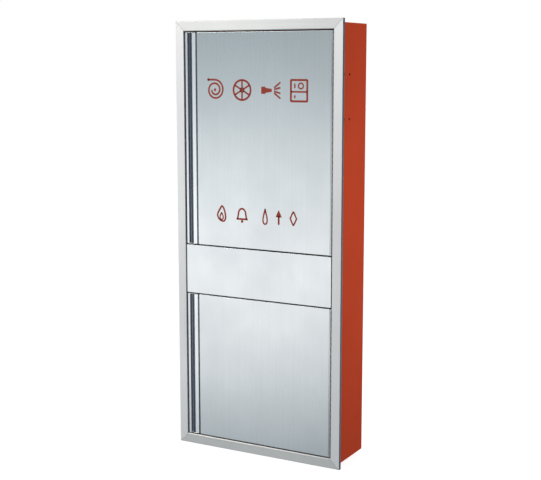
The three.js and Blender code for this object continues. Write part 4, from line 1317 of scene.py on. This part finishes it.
def cabinet_picture(x, z, s):
    box = corners_path(*(np.array([(-0.8, -0.92), (0.8, -0.92), (0.8, 0.92), (-0.8, 0.92)]) * s + (x, z)))
    parts = [ribbon(box, STROKE, True)]
    parts.append(ribbon(np.array([(-0.8, -0.1), (0.8, -0.1)]) * s + (x, z), STROKE * 0.8))
    parts.append(ribbon(np.array([(-0.42, 0.2), (-0.42, 0.62)]) * s + (x, z), STROKE * 0.8))
    parts.append(ribbon(ring_path(x + 0.18 * s, z + 0.41 * s, 0.24 * s), STROKE * 0.7, True))
    parts.append(ribbon(np.array([(-0.42, -0.66), (-0.42, -0.38)]) * s + (x, z), STROKE * 0.8))
    return parts


def flame_picture(x, z, s):
    t = np.linspace(0, 2 * math.pi, 60, endpoint=False)
    wide = 0.72 * np.sin(t) * (0.35 + 0.65 * ((1 - np.cos(t)) / 2) ** 0.8)
    tall = np.cos(t) + 0.14 * np.sin(2 * t)
    inner = np.stack([0.30 * np.sin(t) * ((1 - np.cos(t)) / 2) ** 0.6, 0.42 * np.cos(t) - 0.30], axis=1)
    return [ribbon(np.stack([wide, tall * 0.88], axis=1) * s + (x, z), STROKE * 0.9, True),
            ribbon(inner * s + (x, z), STROKE * 0.7, True)]


def bell_picture(x, z, s):
    dome = np.array([(0.62, -0.5), (0.5, 0.1)]) * s
    top = arc(0, 0.1 * s, 0.5 * s, 0, 180, 25, 1.3)
    outline = np.concatenate([dome[:1], top, dome[:1] * [-1, 1]]) + (x, z)
    return [ribbon(outline, STROKE * 0.9), ribbon(np.array([(-0.8, -0.5), (0.8, -0.5)]) * s + (x, z), STROKE * 0.9),
            blot(arc(x, z - 0.78 * s, 0.17 * s, 0, 345, 24))]


def drop_picture(x, z, s):
    t = np.linspace(0, 2 * math.pi, 48, endpoint=False)
    edge = np.stack([0.42 * np.sin(t) * ((1 - np.cos(t)) / 2) ** 0.9, 0.9 * np.cos(t)], axis=1)
    return [ribbon(edge * s + (x, z), STROKE * 0.8, True)]


def pointer_picture(x, z, s):
    head = np.array([(-0.42, 0.02), (0, 0.92), (0.42, 0.02)]) * s + (x, z)
    return [blot(rounded(head[::-1], 1.5 * MM)), ribbon(np.array([(0, 0.2), (0, -0.88)]) * s + (x, z), STROKE)]


def diamond_picture(x, z, s):
    edge = corners_path(*(np.array([(0, -0.85), (0.42, 0), (0, 0.85), (-0.42, 0)]) * s + (x, z)))
    return [ribbon(edge, STROKE * 0.8, True)]


SIGN_HALF = 46 * MM
SMALL_HALF = 35 * MM
UPPER_ROW = FOOT + 1.547
LOWER_ROW = FOOT + 1.030
signs = [
    (hose_picture, -0.198, UPPER_ROW, SIGN_HALF), (handwheel_picture, -0.068, UPPER_ROW, SIGN_HALF),
    (nozzle_picture, 0.066, UPPER_ROW, SIGN_HALF), (cabinet_picture, 0.196, UPPER_ROW, SIGN_HALF),
    (flame_picture, -0.170, LOWER_ROW, SMALL_HALF), (bell_picture, -0.070, LOWER_ROW, SMALL_HALF),
    (drop_picture, 0.040, LOWER_ROW, SMALL_HALF), (pointer_picture, 0.104, LOWER_ROW, SMALL_HALF),
    (diamond_picture, 0.172, LOWER_ROW, SMALL_HALF),
]
for draw, x, z, size in signs:
    name = "sign_" + draw.__name__.replace("_picture", "")
    make(name, *merged(*draw(x, z, size)), "upper_door", VINYL, smooth=20)
print("signs:", len(signs))

# %% [markdown]
# ## The studio
#
# The sweep is pale paper, lit so brightly that it comes out nearly white, and the cabinet stands on
# it. What a metal sheet shows is the room, so the room is a gradient: a lit band of floor some
# metres out, a dimmer wall above it and a dimmer floor close by. Its mirror image is what gives
# each door its slow shading from top to bottom. Two large soft lamps shape the trim and the side.

# %% Floor
FLOOR_HALF = 40.0
floor_mesh = bpy.data.meshes.new("floor")
floor_mesh.from_pydata([(a * FLOOR_HALF, b * FLOOR_HALF, FOOT) for a, b in ((-1, -1), (1, -1), (1, 1), (-1, 1))],
                       [], [(0, 1, 2, 3)])
floor = bpy.data.objects.new("floor", floor_mesh)
bpy.context.scene.collection.objects.link(floor)
paper = Nodes("sweep_paper")
grain = paper.ramp(paper.noise(60.0), [(0.3, (0.52, 0.52, 0.52)), (0.7, (0.55, 0.55, 0.55))])
floor_mesh.materials.append(paper.finish(
    Base_Color=grain, Roughness=0.9, Metallic=0.0, Specular_IOR_Level=0.1,
    Emission_Color=(1.0, 1.0, 1.0, 1.0), Emission_Strength=0.80,
))
floor.visible_glossy = False
floor.visible_diffuse = False
floor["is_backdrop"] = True

# %% The room as a gradient
world = bpy.data.worlds.new("room")
bpy.context.scene.world = world
world.use_nodes = True
tree = world.node_tree
tree.nodes.clear()


def world_node(kind, **settings):
    node = tree.nodes.new(kind)
    for key, value in settings.items():
        setattr(node, key, value)
    return node


def room_range(value, start, stop, low, high):
    node = world_node("ShaderNodeMapRange", interpolation_type="SMOOTHSTEP")
    for label, number in (("From Min", start), ("From Max", stop), ("To Min", low), ("To Max", high)):
        node.inputs[label].default_value = number
    tree.links.new(value, node.inputs["Value"])
    return node.outputs["Result"]


# The room's light at each rise of a ray, which is its direction's z: -1 is down and 1 is up.
ROOM = [
    (-1.00, (0.70, 0.70, 0.70)), (-0.62, (0.40, 0.41, 0.42)), (-0.42, (0.09, 0.14, 0.165)),
    (-0.36, (0.195, 0.275, 0.31)), (-0.30, (0.61, 0.65, 0.68)), (-0.25, (0.89, 0.91, 0.92)),
    (-0.19, (1.34, 1.35, 1.35)), (-0.14, (1.31, 1.33, 1.34)), (-0.075, (0.72, 0.77, 0.79)),
    (0.00, (0.47, 0.545, 0.575)), (0.05, (0.20, 0.27, 0.305)), (0.12, (0.34, 0.37, 0.39)),
    (0.24, (1.25, 1.24, 1.22)), (0.45, (1.12, 1.11, 1.10)), (0.62, (0.42, 0.43, 0.44)),
    (1.00, (0.34, 0.35, 0.36)),
]
FLAT_TONE = (0.042, 0.060, 0.090, 1)    # a dark blue flat stands to the right of the cabinet
ray = world_node("ShaderNodeTexCoord").outputs["Generated"]
split = world_node("ShaderNodeSeparateXYZ")
tree.links.new(ray, split.inputs[0])
band = world_node("ShaderNodeValToRGB")
while len(band.color_ramp.elements) < len(ROOM):
    band.color_ramp.elements.new(0.5)
for element, (rise, colour) in zip(band.color_ramp.elements, ROOM):
    element.position = (rise + 1) / 2
    element.color = (*colour, 1)
rise = world_node("ShaderNodeMapRange")
rise.inputs["From Min"].default_value = -1.0
tree.links.new(split.outputs["Z"], rise.inputs["Value"])
tree.links.new(rise.outputs["Result"], band.inputs["Fac"])
beside = world_node("ShaderNodeMix", data_type="RGBA")
tree.links.new(room_range(split.outputs["X"], -0.02, 0.58, 0.0, 1.0), beside.inputs["Factor"])
tree.links.new(band.outputs["Color"], beside.inputs[6])
beside.inputs[7].default_value = FLAT_TONE
left_lift = room_range(split.outputs["X"], -0.68, -0.30, 1.27, 0.88)
room = world_node("ShaderNodeBackground")
tree.links.new(beside.outputs[2], room.inputs["Color"])
tree.links.new(left_lift, room.inputs["Strength"])
backdrop = world_node("ShaderNodeBackground")
backdrop.inputs["Color"].default_value = (1, 1, 1, 1)
seen = world_node("ShaderNodeLightPath")
choose = world_node("ShaderNodeMixShader")
tree.links.new(seen.outputs["Is Camera Ray"], choose.inputs[0])
tree.links.new(room.outputs[0], choose.inputs[1])
tree.links.new(backdrop.outputs[0], choose.inputs[2])
tree.links.new(choose.outputs[0], world_node("ShaderNodeOutputWorld").inputs["Surface"])

# %% Lamps
def lamp(name, place, aim, size, power, colour=(1, 1, 1)):
    """A soft rectangular lamp at a place, facing a point."""
    data = bpy.data.lights.new(name, "AREA")
    data.shape, data.size, data.size_y, data.energy, data.color = "RECTANGLE", *size, power, colour
    light = bpy.data.objects.new(name, data)
    light.location = place
    light.rotation_euler = (Vector(aim) - Vector(place)).to_track_quat("-Z", "Y").to_euler()
    bpy.context.scene.collection.objects.link(light)
    light.visible_camera = False
    return light


lamp("key", (-3.4, -3.4, 3.0), (-0.2, FACE, 0.4), (1.8, 1.8), 80, (1.0, 0.97, 0.93))
lamp("side", (2.6, 0.3, 0.22), (HALF, -0.1, 0.05), (1.2, 1.2), 36).visible_glossy = False

# %% Sizes, and finish
size = {"cad": [list(corner) for corner in cad_box], "visual": [list(corner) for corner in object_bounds()]}
